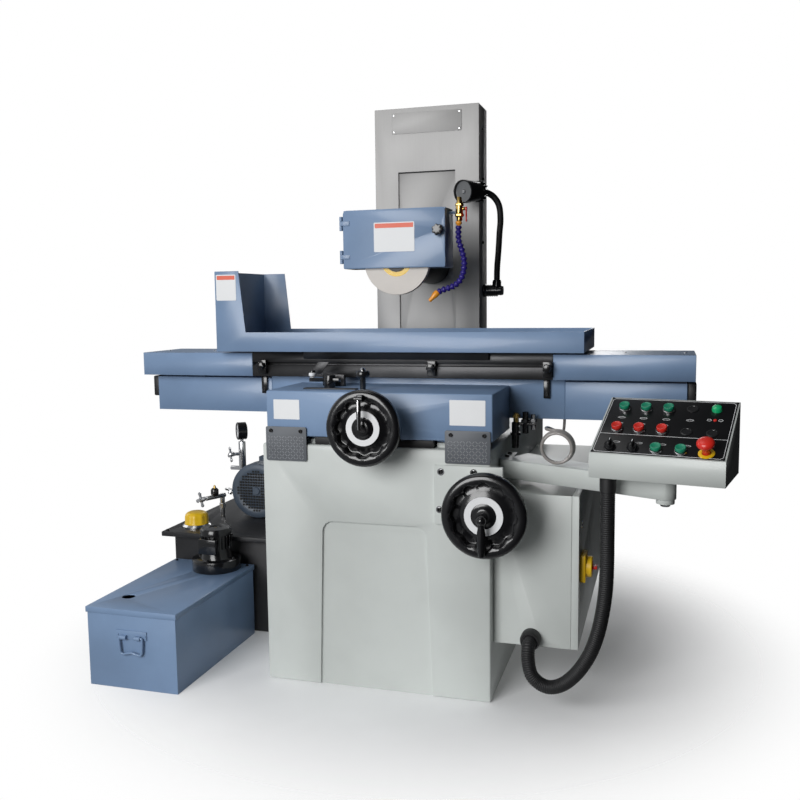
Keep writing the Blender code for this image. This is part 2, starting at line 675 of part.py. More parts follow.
def make_handwheel(name, centre, radius, shaft_length, shaft_radius, side, parent=None):
    """A handwheel on its shaft, and its folded handle, hinged at the rim on one side."""
    x, y, z = centre
    depth = 0.034
    spin = pivot(name + "_axis", centre, parent)
    profile = wheel_profile(radius, depth, shaft_radius, shaft_length)
    wheel = turned(name, profile, centre, "-y", BLACK, 28)
    lug = radius - 0.020
    join(wheel, box(name + "_lug", (x - 0.009, x + 0.009),
                    (y - depth / 2 - 0.008, y + 0.004),
                    sorted((z + side * (lug - 0.008), z + side * (lug + 0.010)))))
    hold(spin, wheel)

    front = y - depth / 2 - 0.019
    fold = pivot(name + "_fold", (x, front, z + side * lug), spin)
    handle = turned(name + "_handle", [
        (0, 0.080), (0.0075, 0.078), (0.0100, 0.071), (0.0085, 0.045), (0.0095, 0.015),
        (0.0070, 0.004), (0.0070, -0.006), (0, -0.006)],
        (x, front, z + side * lug), turn_to(0, 0, -side), BLACK, 14)
    hold(fold, handle)


def make_saddle_controls(slide):
    """Reversing lever and speed knob on top of the apron."""
    top = APRON_Z[1]
    x, y = -0.160, 0.112
    lever = rod("reversing_lever", (x, y, top + GAP), "z", 0.016, 0.034, BLACK, 20)
    join(lever, box("lever_arm", (x - 0.058, x + 0.030), (y - 0.009, y + 0.009),
                    (top + 0.016, top + 0.026)),
         rod("lever_ball_neck", (x - 0.052, y, top + 0.024), "z", 0.004, 0.012, segments=12),
         rod("lever_ball", (x - 0.052, y, top + 0.030), "z", 0.0085, 0.017, segments=16))
    hold(pivot("reversing_axis", (x, y, top), slide), lever)

    x, y = -0.040, 0.050
    knob = turned("table_speed_knob", [
        (0, 0.052), (0.017, 0.052), (0.019, 0.049), (0.019, 0.038), (0.008, 0.034),
        (0.008, GAP), (0, GAP)], (x, y, top), "z", BLACK, 20)
    hold(pivot("speed_axis", (x, y, top), slide), knob)


LEAD_ROUTE = (
    (0.473, 0.300, 0.726), (0.474, 0.292, 0.706), (0.476, 0.262, 0.697),
    (0.479, 0.215, 0.704), (0.482, 0.160, 0.714), (0.484, 0.105, 0.722),
    (0.485, 0.070, 0.724), (0.485, 0.058, 0.724), (0.485, 0.0466, 0.724))
COIL = (0.484, 0.035, 0.684)


def make_drain_hose(slide):
    """Clear drain hose: a lead from under the right wing, and its coil on the arm."""
    lead = tube("drain_hose_lead", smooth([Vector(p) for p in LEAD_ROUTE], 3), 0.004, CLEAR)
    outer, inner, half = 0.0455, 0.0265, 0.009
    coil = turned("drain_hose_coil", [
        (outer - 0.003, half), (outer, half - 0.004), (outer, -half + 0.004),
        (outer - 0.003, -half), (inner + 0.003, -half), (inner, -half + 0.004),
        (inner, half - 0.004), (inner + 0.003, half)], COIL, "-y", CLEAR, 22, closed=True)
    hold(slide, lead, coil)


# ---------------------------------------------------------------- table
def make_table(slide):
    """Table casting with its ground top and T-slot, way covers and splash tray."""
    table = box("table_casting", TABLE_X, TABLE_Y, TABLE_Z, IRON)
    join(table, box("work_face", (-WORK_X, WORK_X), WORK_Y, (TABLE_Z[1] - 0.02, TABLE_TOP)))
    middle = (WORK_Y[0] + WORK_Y[1]) / 2
    cut(table, box("slot_neck", (-0.6, 0.6), (middle - 0.007, middle + 0.007),
                   (TABLE_TOP - 0.014, TABLE_TOP + 0.01)),
        box("slot_head", (-0.6, 0.6), (middle - 0.0125, middle + 0.0125),
            (TABLE_TOP - 0.022, TABLE_TOP - 0.0135)),
        box("dog_slot", (-0.6, 0.6), (TABLE_Y[0] - 0.01, TABLE_Y[0] + 0.012),
            (0.874, 0.882)),
        box("table_hollow", (TABLE_X[0] + 0.030, TABLE_X[1] - 0.030),
            (TABLE_Y[0] + 0.085, TABLE_Y[1] - 0.085), (0.83, TABLE_Z[1] - 0.028)))
    hold(slide, table)

    for name, x in (("table_cover_left", (COVER_END_L, TABLE_X[0] - GAP)),
                    ("table_cover_right", (TABLE_X[1] + GAP, COVER_END_R))):
        cover = box(name, x, TABLE_Y, COVER_Z, BLUE)
        cut(cover, box(name + "_inside", (x[0] + SHEET, x[1] - SHEET),
                       (TABLE_Y[0] + SHEET, TABLE_Y[1] - SHEET),
                       (0.80, COVER_Z[1] - SHEET)))
        hold(slide, cover)

    tray = box("splash_tray", TRAY_X, TRAY_Y, (TRAY_Z, GUARD_RIM), BLUE)
    inner_x = (TRAY_X[0] + SHEET, TRAY_X[1] - SHEET)
    inner_y = (TRAY_Y[0] + SHEET, TRAY_Y[1] - SHEET)
    cut(tray, box("tray_inside", inner_x, inner_y, (TRAY_Z + SHEET, 1.3)))
    wing = [(-0.449, TRAY_RIM), (0.6, TRAY_RIM), (0.6, 1.3), (-0.467, 1.3), (-0.467, GUARD_RIM)]
    upright = Matrix.Translation(world(0, 0.6, 0)) @ Matrix.Rotation(math.pi / 2, 4, "X")
    cut(tray, plate("tray_rim", [wing], 0.6, upright))
    hole = 0.0006
    cut(tray, box("table_opening", (-WORK_X - hole, WORK_X + hole),
                  (WORK_Y[0] - hole, WORK_Y[1] + hole), (0.9, 0.95)))
    hold(slide, tray)

    for name, x in (("trip_dog_left", -0.408), ("trip_dog_centre", 0.112),
                    ("trip_dog_right", 0.437)):
        front = TABLE_Y[0] - GAP
        dog = box(name, (x - 0.0125, x + 0.0125), (front - 0.014, front), (0.848, 0.890), BLACK)
        join(dog, rod(name + "_neck", (x, front - 0.010, 0.873), "-y", 0.004, 0.012,
                      segments=12),
             rod(name + "_knob", (x, front - 0.020, 0.873), "-y", 0.010, 0.011, segments=12),
             box(name + "_tongue", (x - 0.010, x + 0.010), (front - 0.002, front + 0.008),
                 (0.8745, 0.8815)))
        hold(slide, dog)


# ---------------------------------------------------------------- wheelhead
def make_wheelhead(slide):
    """Slide block in the column, spindle housing, motor, guard, door and spindle."""
    x, z = SPINDLE
    block = 0.0896
    housing = box("wheelhead_housing", (COLUMN_X - block, COLUMN_X + block), (0.740, 0.966),
                  (z - 0.110, z + 0.110), IRON)
    join(housing, rod("spindle_housing", (x, HOOD_Y[1] + GAP, z), "y", 0.062, 0.360,
                      segments=32))
    cut(housing, rod("spindle_bore", (x, 0.38, z), "y", 0.020, 0.340, segments=24))

    motor = rod("spindle_motor", (x, 0.966 + GAP, z), "y", 0.082, 0.190, MOTOR_GREY, 32)
    join(motor, box("motor_terminals", (x - 0.035, x + 0.035), (1.000, 1.080),
                    (z + 0.060, z + 0.112)))

    skin = 0.004
    hood = box("wheel_guard", HOOD_X, HOOD_Y, HOOD_Z, BLUE)
    cut(hood, box("hood_inside", (HOOD_X[0] + skin, HOOD_X[1] - skin),
                  (HOOD_Y[0] - 0.01, HOOD_Y[1] - 0.006), (HOOD_Z[0] - 0.01, HOOD_Z[1] - skin)),
        rod("hood_hole", (x, 0.38, z), "y", 0.046, 0.04, segments=24))
    join(hood, rod("valve_rod", (HOOD_X[1] - 0.002, 0.350, 1.312), "x", 0.004, 0.0208,
                   segments=12))

    spindle = turned("spindle_shaft", [
        (0, 0.0362), (0.0150, 0.0362), (0.0150, 0.0345), (0.0330, 0.0345), (0.0330, 0.0304),
        (0.0158, 0.0304), (0.0158, 0.0096), (0.0420, 0.0096), (0.0420, 0.0), (0.0180, 0.0),
        (0.0180, -0.355), (0, -0.355)], (x, WHEEL_Y[1] + 0.010, z), "-y", STEEL, 20)
    half = (WHEEL_Y[1] - WHEEL_Y[0]) / 2
    wheel = turned("grinding_wheel", [
        (WHEEL_R - 0.001, half), (WHEEL_R, half - 0.001), (WHEEL_R, -half + 0.001),
        (WHEEL_R - 0.001, -half), (BORE_R, -half), (BORE_R, half)],
        (x, WHEEL_Y[0] + half, z), "-y", ABRASIVE, 36, closed=True)
    turning = pivot("spindle_axis", (x, WHEEL_Y[0], z), slide)
    hold(turning, spindle, wheel)

    plate_at = Matrix.Translation(world(0, 0.727, 0)) @ Matrix.Rotation(math.pi / 2, 4, "X")
    sides = (COLUMN_X - 0.103, COLUMN_X + 0.103)
    outline = [(sides[0], 0.800), (sides[1], 0.800), (sides[1], 1.484), (sides[0], 1.484)]
    shield = plate("way_shield", [outline, circle(x, z, 0.0628, 32)], 0.003, plate_at, STEEL)
    hold(slide, housing, motor, hood, shield)

    front, thick = 0.298, 0.0066
    outline = rounded([(HOOD_X[0], HOOD_Z[0]), (HOOD_X[1], HOOD_Z[0]), (HOOD_X[1], HOOD_Z[1]),
                       (HOOD_X[0], HOOD_Z[1])], (0.004, 0.004, 0.010, 0.012))
    door_at = Matrix.Translation(world(0, front + thick, 0)) @ Matrix.Rotation(math.pi / 2, 4, "X")
    knob_x, knob_z = 0.112, 1.260
    door = plate("guard_door", [outline, circle(knob_x, knob_z, 0.0044, 16)], thick,
                 door_at, BLUE)
    hinge = pivot("guard_hinge", (-0.186, 0.302, HOOD_Z[0]), slide)
    hold(hinge, door)
    star = turned("guard_door_knob", [
        (0, 0.024), (0.014, 0.024), (0.0172, 0.020), (0.0172, 0.008), (0.009, 0.004),
        (0.009, GAP), (0.004, GAP), (0.004, -0.010), (0, -0.010)],
        (knob_x, front, knob_z), "-y", BLACK, 20)
    hold(pivot("guard_knob_axis", (knob_x, front, knob_z), hinge), star)


HOSE_ROUTE = (
    (0.159, 0.350, 1.2876), (0.158, 0.350, 1.262), (0.158, 0.350, 1.236),
    (0.165, 0.349, 1.213), (0.172, 0.348, 1.190), (0.176, 0.346, 1.166),
    (0.174, 0.344, 1.143), (0.168, 0.342, 1.122), (0.155, 0.339, 1.106),
    (0.136, 0.335, 1.096), (0.116, 0.331, 1.090), (0.099, 0.327, 1.082))


def make_coolant_supply(slide):
    """Ball valve on the guard's side, its lever and the jointed coolant hose."""
    x, y = 0.161, 0.350
    valve = turned("coolant_valve", [
        (0, 1.356), (0.006, 1.356), (0.009, 1.340), (0.011, 1.338), (0.011, 1.300),
        (0.0085, 1.298), (0.0085, 1.288), (0, 1.288)], (x, y, 0), "z", BRASS, 20)
    join(valve, rod("valve_neck", (x + 0.008, y, 1.322), "x", 0.005, 0.010, segments=12))
    hold(slide, valve)

    lever = rod("valve_lever", (x + 0.0184, y, 1.322), "x", 0.006, 0.004, RED, 12)
    join(lever, box("lever_strip", (x + 0.0190, x + 0.0220), (y - 0.0045, y + 0.0045),
                    (1.285, 1.324)))
    hold(pivot("valve_axis", (x + 0.018, y, 1.322), slide), lever)

    path = smooth([world(*p) for p in HOSE_ROUTE], 2)
    hose = curve_mesh("coolant_hose", tube_curve("coolant_hose", path, 0.0075, 2),
                      Matrix.Identity(4), HOSE_BLUE)
    tip = Vector(HOSE_ROUTE[-1])
    aim = (Vector((0.076, 0.318, 1.056)) - tip).normalized()
    join(hose, rod("hose_nozzle", tip - aim * 0.004, turn_to(*aim), 0.0090, 0.038,
                   segments=16, top_radius=0.0045))
    hold(pivot("hose_axis", HOSE_ROUTE[0], slide), hose)


# ---------------------------------------------------------------- lamp
NECK_ROUTE = (
    (0.189, 0.790, 1.1124), (0.190, 0.790, 1.165), (0.195, 0.788, 1.224), (0.200, 0.780, 1.282),
    (0.205, 0.770, 1.324), (0.203, 0.754, 1.368), (0.188, 0.733, 1.396), (0.166, 0.709, 1.409),
    (0.154, 0.699, 1.411))


def make_lamp():
    """Bracket on the column cover, and the lamp on its gooseneck."""
    side = COLUMN_X + COVER_HALF + GAP
    bracket = box("lamp_bracket", (side, side + 0.078), (0.770, 0.812), (1.068, 1.112), BLACK,
                  0.003)
    join(bracket, rod("clamp_screw", (side + 0.014, 0.772, 1.086), "-y", 0.006, 0.014,
                      segments=12))

    path = smooth([world(*p) for p in NECK_ROUTE], 2)
    lamp = curve_mesh("work_lamp", tube_curve("work_lamp", path, 0.0105, 2),
                      Matrix.Identity(4), BLACK)
    rear = Vector((0.158, 0.703, 1.411))
    aim = Vector((0.112, 0.609, 1.402)) - rear
    head = turned("lamp_head", [
        (0, 0.012), (0.014, 0.016), (0.024, 0.050), (0.033, 0.105), (0.036, 0.105),
        (0.037, 0.096), (0.033, 0.040), (0.022, 0.008), (0.012, 0.0), (0, 0.0)],
        rear, turn_to(*aim), BLACK, 20)
    join(lamp, head)
    hold(pivot("lamp_axis", NECK_ROUTE[0]), lamp)


# ---------------------------------------------------------------- assembly
make_base()
make_column()
make_cabinet()
make_coolant_tank()
make_hydraulic_unit()
make_control_panel()
make_conduit()
make_lamp()

saddle_slide = pivot("saddle_slide", (0, 0, BASE_TOP))
make_saddle(saddle_slide)
make_saddle_controls(saddle_slide)
make_drain_hose(saddle_slide)
make_handwheel("cross_handwheel", CROSS_WHEEL, CROSS_WHEEL_R, 0.130, 0.011, 1,
               saddle_slide)
make_handwheel("vertical_handwheel", LIFT_WHEEL, LIFT_WHEEL_R, 0.085, 0.012, -1)

table_slide = pivot("table_slide", (0, SADDLE_Y[0], TABLE_Z[0]), saddle_slide)
make_table(table_slide)

wheelhead_slide = pivot("wheelhead_slide", (SPINDLE[0], COLUMN_Y, SPINDLE[1]))
make_wheelhead(wheelhead_slide)
make_coolant_supply(wheelhead_slide)

for part in grinder.objects:
    if part.type == "MESH" and part.data.polygons:
        shade(part)
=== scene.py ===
import json
import math

import bmesh
import bpy
from mathutils import Matrix, Vector


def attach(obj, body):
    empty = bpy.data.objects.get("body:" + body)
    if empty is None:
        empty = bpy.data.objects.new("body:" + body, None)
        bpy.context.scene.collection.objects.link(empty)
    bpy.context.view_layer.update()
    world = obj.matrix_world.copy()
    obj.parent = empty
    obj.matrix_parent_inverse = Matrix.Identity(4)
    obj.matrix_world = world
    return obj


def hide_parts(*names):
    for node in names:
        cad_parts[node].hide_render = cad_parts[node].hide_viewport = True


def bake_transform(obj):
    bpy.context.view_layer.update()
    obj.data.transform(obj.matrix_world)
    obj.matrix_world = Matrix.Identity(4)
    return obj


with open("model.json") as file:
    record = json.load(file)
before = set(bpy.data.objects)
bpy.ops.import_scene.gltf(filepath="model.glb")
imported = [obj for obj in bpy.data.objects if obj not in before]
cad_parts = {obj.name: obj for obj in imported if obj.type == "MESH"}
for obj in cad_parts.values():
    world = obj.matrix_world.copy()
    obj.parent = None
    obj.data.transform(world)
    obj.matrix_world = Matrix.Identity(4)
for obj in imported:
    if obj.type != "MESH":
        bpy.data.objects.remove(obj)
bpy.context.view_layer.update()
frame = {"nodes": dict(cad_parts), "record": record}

# Everything is in metres, +Z up. Distances along Y are given behind the base's front face.
FRONT = -0.5
WHEEL_CENTRE = (-0.02, 0.322, 1.177)
CROSS_WHEEL = (0.008, -0.091, 0.737)
CROSS_WHEEL_R = 0.099
LIFT_WHEEL = (0.322, -0.101, 0.529)
LIFT_WHEEL_R = 0.1075
PANEL_ORIGIN = (0.574, -0.103, 0.638)
PANEL_YAW = math.radians(-11.7)
PANEL_W, PANEL_D, PANEL_FRONT_H, PANEL_BACK_H = 0.3094, 0.201, 0.059, 0.171
PANEL_SLOPE = math.atan2(PANEL_BACK_H - PANEL_FRONT_H, PANEL_D)
FACE_LENGTH = math.hypot(PANEL_BACK_H - PANEL_FRONT_H, PANEL_D)
COLUMNS = (0.045, 0.098, 0.152, 0.208, 0.264)
UPPER, MIDDLE, LOWER = 0.181, 0.097, 0.024


def at(x, y, z):
    """A point given with y behind the base's front face."""
    return Vector((x, y + FRONT, z))


# ---------------------------------------------------------------- camera, floor and light
LENS, SENSOR = 40.48, 36.0


def make_camera():
    yaw, pitch, roll = math.radians(16.7), math.radians(6.3), math.radians(-0.7)
    ahead = Vector((-math.sin(yaw) * math.cos(pitch), math.cos(yaw) * math.cos(pitch),
                    -math.sin(pitch)))
    level = Vector((math.cos(yaw), math.sin(yaw), 0.0))
    up = level.cross(ahead)
    right = level * math.cos(roll) + up * math.sin(roll)
    top = up * math.cos(roll) - level * math.sin(roll)
    data = bpy.data.cameras.new("camera")
    data.sensor_width = SENSOR
    data.lens = LENS
    camera = bpy.data.objects.new("camera", data)
    place = Matrix((right, top, -ahead)).transposed().to_4x4()
    place.translation = at(0.7517, -2.2419, 1.0596)
    camera.matrix_world = place
    bpy.context.scene.collection.objects.link(camera)
    bpy.context.scene.camera = camera


def make_light(name, place, target, width, power):
    data = bpy.data.lights.new(name, "AREA")
    data.shape = "SQUARE"
    data.size = width
    data.energy = power
    lamp = bpy.data.objects.new(name, data)
    lamp.location = place
    lamp.rotation_euler = (Vector(target) - Vector(place)).to_track_quat("-Z", "Y").to_euler()
    bpy.context.scene.collection.objects.link(lamp)


def make_stage():
    """A white room, brighter towards the left, and a pale floor that fades into it."""
    bpy.context.scene.view_settings.view_transform = "Standard"
    world = bpy.data.worlds.new("studio")
    bpy.context.scene.world = world
    world.use_nodes = True
    tree = world.node_tree
    bright, dim = 0.34, 0.01
    room = tree.nodes["Background"]
    room.inputs["Color"].default_value = (0.94, 0.97, 1.0, 1.0)
    place = tree.nodes.new("ShaderNodeTexCoord")
    parts = tree.nodes.new("ShaderNodeSeparateXYZ")
    level = tree.nodes.new("ShaderNodeMapRange")
    level.inputs["From Min"].default_value = -0.7
    level.inputs["From Max"].default_value = 0.3
    level.inputs["To Min"].default_value = bright
    level.inputs["To Max"].default_value = dim
    tree.links.new(place.outputs["Generated"], parts.inputs[0])
    tree.links.new(parts.outputs["X"], level.inputs["Value"])
    tree.links.new(level.outputs["Result"], room.inputs["Strength"])
    backdrop = tree.nodes.new("ShaderNodeBackground")
    backdrop.inputs["Color"].default_value = (1.0, 1.0, 1.0, 1.0)
    path = tree.nodes.new("ShaderNodeLightPath")
    mix = tree.nodes.new("ShaderNodeMixShader")
    tree.links.new(path.outputs["Is Camera Ray"], mix.inputs["Fac"])
    tree.links.new(room.outputs[0], mix.inputs[1])
    tree.links.new(backdrop.outputs[0], mix.inputs[2])
    tree.links.new(mix.outputs[0], tree.nodes["World Output"].inputs["Surface"])

    mesh = bpy.data.meshes.new("floor")
    bm = bmesh.new()
    bmesh.ops.create_grid(bm, x_segments=2, y_segments=2, size=3.0)
    bm.to_mesh(mesh)
    bm.free()
    floor = bpy.data.objects.new("floor", mesh)
    floor.location = (0.0, 0.0, -0.0005)
    mesh.materials.append(make_floor_finish())
    bpy.context.scene.collection.objects.link(floor)

    make_light("key_light", (-1.2, -4.3, 1.9), (0.0, -0.3, 0.7), 2.4, 150)
    make_light("top_light", (-0.9, -0.6, 4.0), (0.0, 0.0, 0.8), 2.0, 14)
    make_light("left_light", (-4.0, 0.6, 2.0), (0.0, 0.2, 0.8), 2.4, 20)
    make_light("rear_light", (-0.8, 4.2, 2.4), (0.0, 0.2, 0.9), 2.6, 60)


def make_floor_finish():
    """Pale floor paint that thins out to nothing away from the machine."""
    mat = finish("floor_pale", (0.88, 0.89, 0.9), 0.75, mottle=0.01, bump=0.0)
    full_within, clear_beyond = 0.6, 1.25
    tree = mat.node_tree
    shader = tree.nodes["Principled BSDF"]
    shader.inputs["Emission Color"].default_value = (1.0, 1.0, 1.0, 1.0)
    shader.inputs["Emission Strength"].default_value = 0.07
    place = tree.nodes.new("ShaderNodeTexCoord")
    far = tree.nodes.new("ShaderNodeVectorMath")
    far.operation = "LENGTH"
    fade = tree.nodes.new("ShaderNodeMapRange")
    fade.interpolation_type = "SMOOTHSTEP"
    fade.inputs["From Min"].default_value = full_within
    fade.inputs["From Max"].default_value = clear_beyond
    clear = tree.nodes.new("ShaderNodeBsdfTransparent")
    mix = tree.nodes.new("ShaderNodeMixShader")
    tree.links.new(place.outputs["Object"], far.inputs[0])
    tree.links.new(far.outputs["Value"], fade.inputs["Value"])
    tree.links.new(fade.outputs["Result"], mix.inputs["Fac"])
    tree.links.new(shader.outputs[0], mix.inputs[1])
    tree.links.new(clear.outputs[0], mix.inputs[2])
    tree.links.new(mix.outputs[0], tree.nodes["Material Output"].inputs["Surface"])
    return mat


# ---------------------------------------------------------------- materials
PATCH_DEPTH = 2.2  # how much further the dark patches go from the colour than the light ones
PATCH_SHARE = 0.82
GRAIN_SHARE = 0.35
GLOSS_LOW, GLOSS_HIGH = 0.82, 1.22


def finish(name, colour, roughness, metallic=0.0, coat=0.0, mottle=0.06, patch=5.0,
           grain=420.0, bump=0.03, stretch=(1.0, 1.0, 1.0), transmission=0.0):
    """A surface with slow colour patches, a fine grain and a roughness that varies with the
    patches.
    """
    mat = bpy.data.materials.new(name)
    mat.use_nodes = True
    mat.diffuse_color = (*colour, 1.0)
    tree = mat.node_tree
    shader = tree.nodes["Principled BSDF"]
    shader.inputs["Metallic"].default_value = metallic
    shader.inputs["Coat Weight"].default_value = coat
    shader.inputs["Coat Roughness"].default_value = 0.12
    shader.inputs["Transmission Weight"].default_value = transmission
    place = tree.nodes.new("ShaderNodeTexCoord")
    scale = tree.nodes.new("ShaderNodeMapping")
    scale.inputs["Scale"].default_value = stretch
    tree.links.new(place.outputs["Object"], scale.inputs["Vector"])

    def noise(size, detail, source):
        node = tree.nodes.new("ShaderNodeTexNoise")
        node.inputs["Scale"].default_value = size
        node.inputs["Detail"].default_value = detail
        tree.links.new(source, node.inputs["Vector"])
        return node.outputs["Fac"]

    slow = noise(patch, 5.0, place.outputs["Object"])
    fine = noise(grain, 3.0, scale.outputs["Vector"])
    low = tuple(c * (1.0 - PATCH_DEPTH * mottle) for c in colour)
    high = tuple(min(1.0, c * (1.0 + mottle)) for c in colour)
    tint = tree.nodes.new("ShaderNodeMix")
    tint.data_type = "RGBA"
    tint.inputs[6].default_value = (*low, 1.0)
    tint.inputs[7].default_value = (*high, 1.0)
    blend = tree.nodes.new("ShaderNodeMath")
    blend.operation = "MULTIPLY_ADD"
    blend.inputs[1].default_value = GRAIN_SHARE
    blend.use_clamp = True
    spread = tree.nodes.new("ShaderNodeMapRange")
    spread.inputs["From Min"].default_value = 0.3
    spread.inputs["From Max"].default_value = 0.62
    spread.inputs["To Min"].default_value = 0.0
    spread.inputs["To Max"].default_value = PATCH_SHARE
    tree.links.new(slow, spread.inputs["Value"])
    tree.links.new(fine, blend.inputs[0])
    tree.links.new(spread.outputs["Result"], blend.inputs[2])
    tree.links.new(blend.outputs[0], tint.inputs[0])
    tree.links.new(tint.outputs[2], shader.inputs["Base Color"])

    gloss = tree.nodes.new("ShaderNodeMapRange")
    gloss.inputs["From Min"].default_value = 0.25
    gloss.inputs["From Max"].default_value = 0.75
    gloss.inputs["To Min"].default_value = max(0.03, roughness * GLOSS_LOW)
    gloss.inputs["To Max"].default_value = min(1.0, roughness * GLOSS_HIGH)
    tree.links.new(slow, gloss.inputs["Value"])
    tree.links.new(gloss.outputs["Result"], shader.inputs["Roughness"])
    if bump:
        relief = tree.nodes.new("ShaderNodeBump")
        relief.inputs["Strength"].default_value = bump
        relief.inputs["Distance"].default_value = 0.001
        tree.links.new(fine, relief.inputs["Height"])
        tree.links.new(relief.outputs["Normal"], shader.inputs["Normal"])
    return mat


PAINTS = {
    "blue_paint": finish("blue_enamel", (0.178, 0.268, 0.42), 0.38, coat=0.15, bump=0.1),
    "cream_paint": finish("cream_enamel", (0.56, 0.59, 0.57), 0.42, coat=0.1, bump=0.1,
                          mottle=0.03),
    "cast_iron": finish("oiled_iron", (0.045, 0.045, 0.047), 0.38, 0.7, mottle=0.2, bump=0.25,
                        grain=260.0),
    "stainless": finish("brushed_stainless", (0.4, 0.395, 0.39), 0.5, 0.22, mottle=0.09,
                        grain=9.0, bump=0.12, stretch=(70.0, 70.0, 1.0), patch=4.0),
    "bright_steel": finish("bright_steel", (0.68, 0.68, 0.69), 0.17, 1.0, mottle=0.05, bump=0.02),
    "black_plastic": finish("black_phenolic", (0.007, 0.007, 0.008), 0.2, coat=0.2, mottle=0.2,
                            bump=0.04),
    "black_rubber": finish("black_rubber", (0.009, 0.009, 0.01), 0.5, mottle=0.25, bump=0.2),
    "charcoal_paint": finish("black_enamel", (0.014, 0.014, 0.016), 0.45, mottle=0.2, bump=0.3),
    "motor_paint": finish("motor_enamel", (0.055, 0.075, 0.105), 0.42, mottle=0.12, bump=0.25),
    "abrasive": finish("white_abrasive", (0.74, 0.7, 0.66), 0.92, mottle=0.07, grain=900.0,
                       bump=0.75),
    "red_plastic": finish("red_plastic", (0.66, 0.025, 0.015), 0.3, coat=0.2, bump=0.03),
    "green_plastic": finish("green_plastic", (0.01, 0.235, 0.13), 0.3, coat=0.2, bump=0.03),
    "yellow_plastic": finish("yellow_plastic", (0.8, 0.5, 0.01), 0.34, coat=0.1, bump=0.08),
    "brass": finish("turned_brass", (0.62, 0.42, 0.13), 0.26, 1.0, mottle=0.1, bump=0.05),
    "hose_blue": finish("blue_hose_plastic", (0.022, 0.012, 0.19), 0.36, coat=0.1, bump=0.05),
    "clear_hose": finish("smoky_hose", (0.48, 0.45, 0.43), 0.12, coat=0.3, transmission=0.45,
                         bump=0.02),
}
BLUE = PAINTS["blue_paint"]
CREAM = PAINTS["cream_paint"]
IRON = PAINTS["cast_iron"]
SHEET_STEEL = PAINTS["stainless"]
STEEL = PAINTS["bright_steel"]
BLACK = PAINTS["black_plastic"]
RUBBER = PAINTS["black_rubber"]
MOTOR = PAINTS["motor_paint"]
YELLOW = PAINTS["yellow_plastic"]
RED = PAINTS["red_plastic"]
BRASS = PAINTS["brass"]
WHITE = finish("white_print", (0.78, 0.79, 0.8), 0.45, mottle=0.03, bump=0.03)
ORANGE = finish("orange_plastic", (0.86, 0.33, 0.02), 0.36, coat=0.1, bump=0.05)
GREY_RUBBER = finish("grey_flap_rubber", (0.115, 0.125, 0.14), 0.5, mottle=0.12, bump=0.2)
FACE_BLACK = finish("panel_face_film", (0.005, 0.005, 0.006), 0.3, mottle=0.2, bump=0.05)
# A lighter copy of the flap rubber for the raised bars: painted highlight on their tops.
TREAD_HIGHLIGHT = finish("flap_tread_painted_highlight", (0.24, 0.25, 0.27), 0.45, mottle=0.1, bump=0.1)
LABEL_RED = finish("label_red", (0.74, 0.105, 0.045), 0.42, mottle=0.04, bump=0.02)
# Near-black: painted shade in screw sockets, the lock's keyhole and the cowl's vent holes, and also
# the real black marks on the dial, switch and gauge.
SHADE_AND_MARKS = finish("painted_shade_and_black_marks", (0.004, 0.004, 0.004), 0.7, mottle=0.2, bump=0.1)
GLASS = finish("lamp_glass", (0.15, 0.155, 0.16), 0.12, coat=0.4, mottle=0.1, bump=0.02)


# ---------------------------------------------------------------- shapes
CREASE = math.radians(38)  # faces that meet at more than this keep a sharp edge


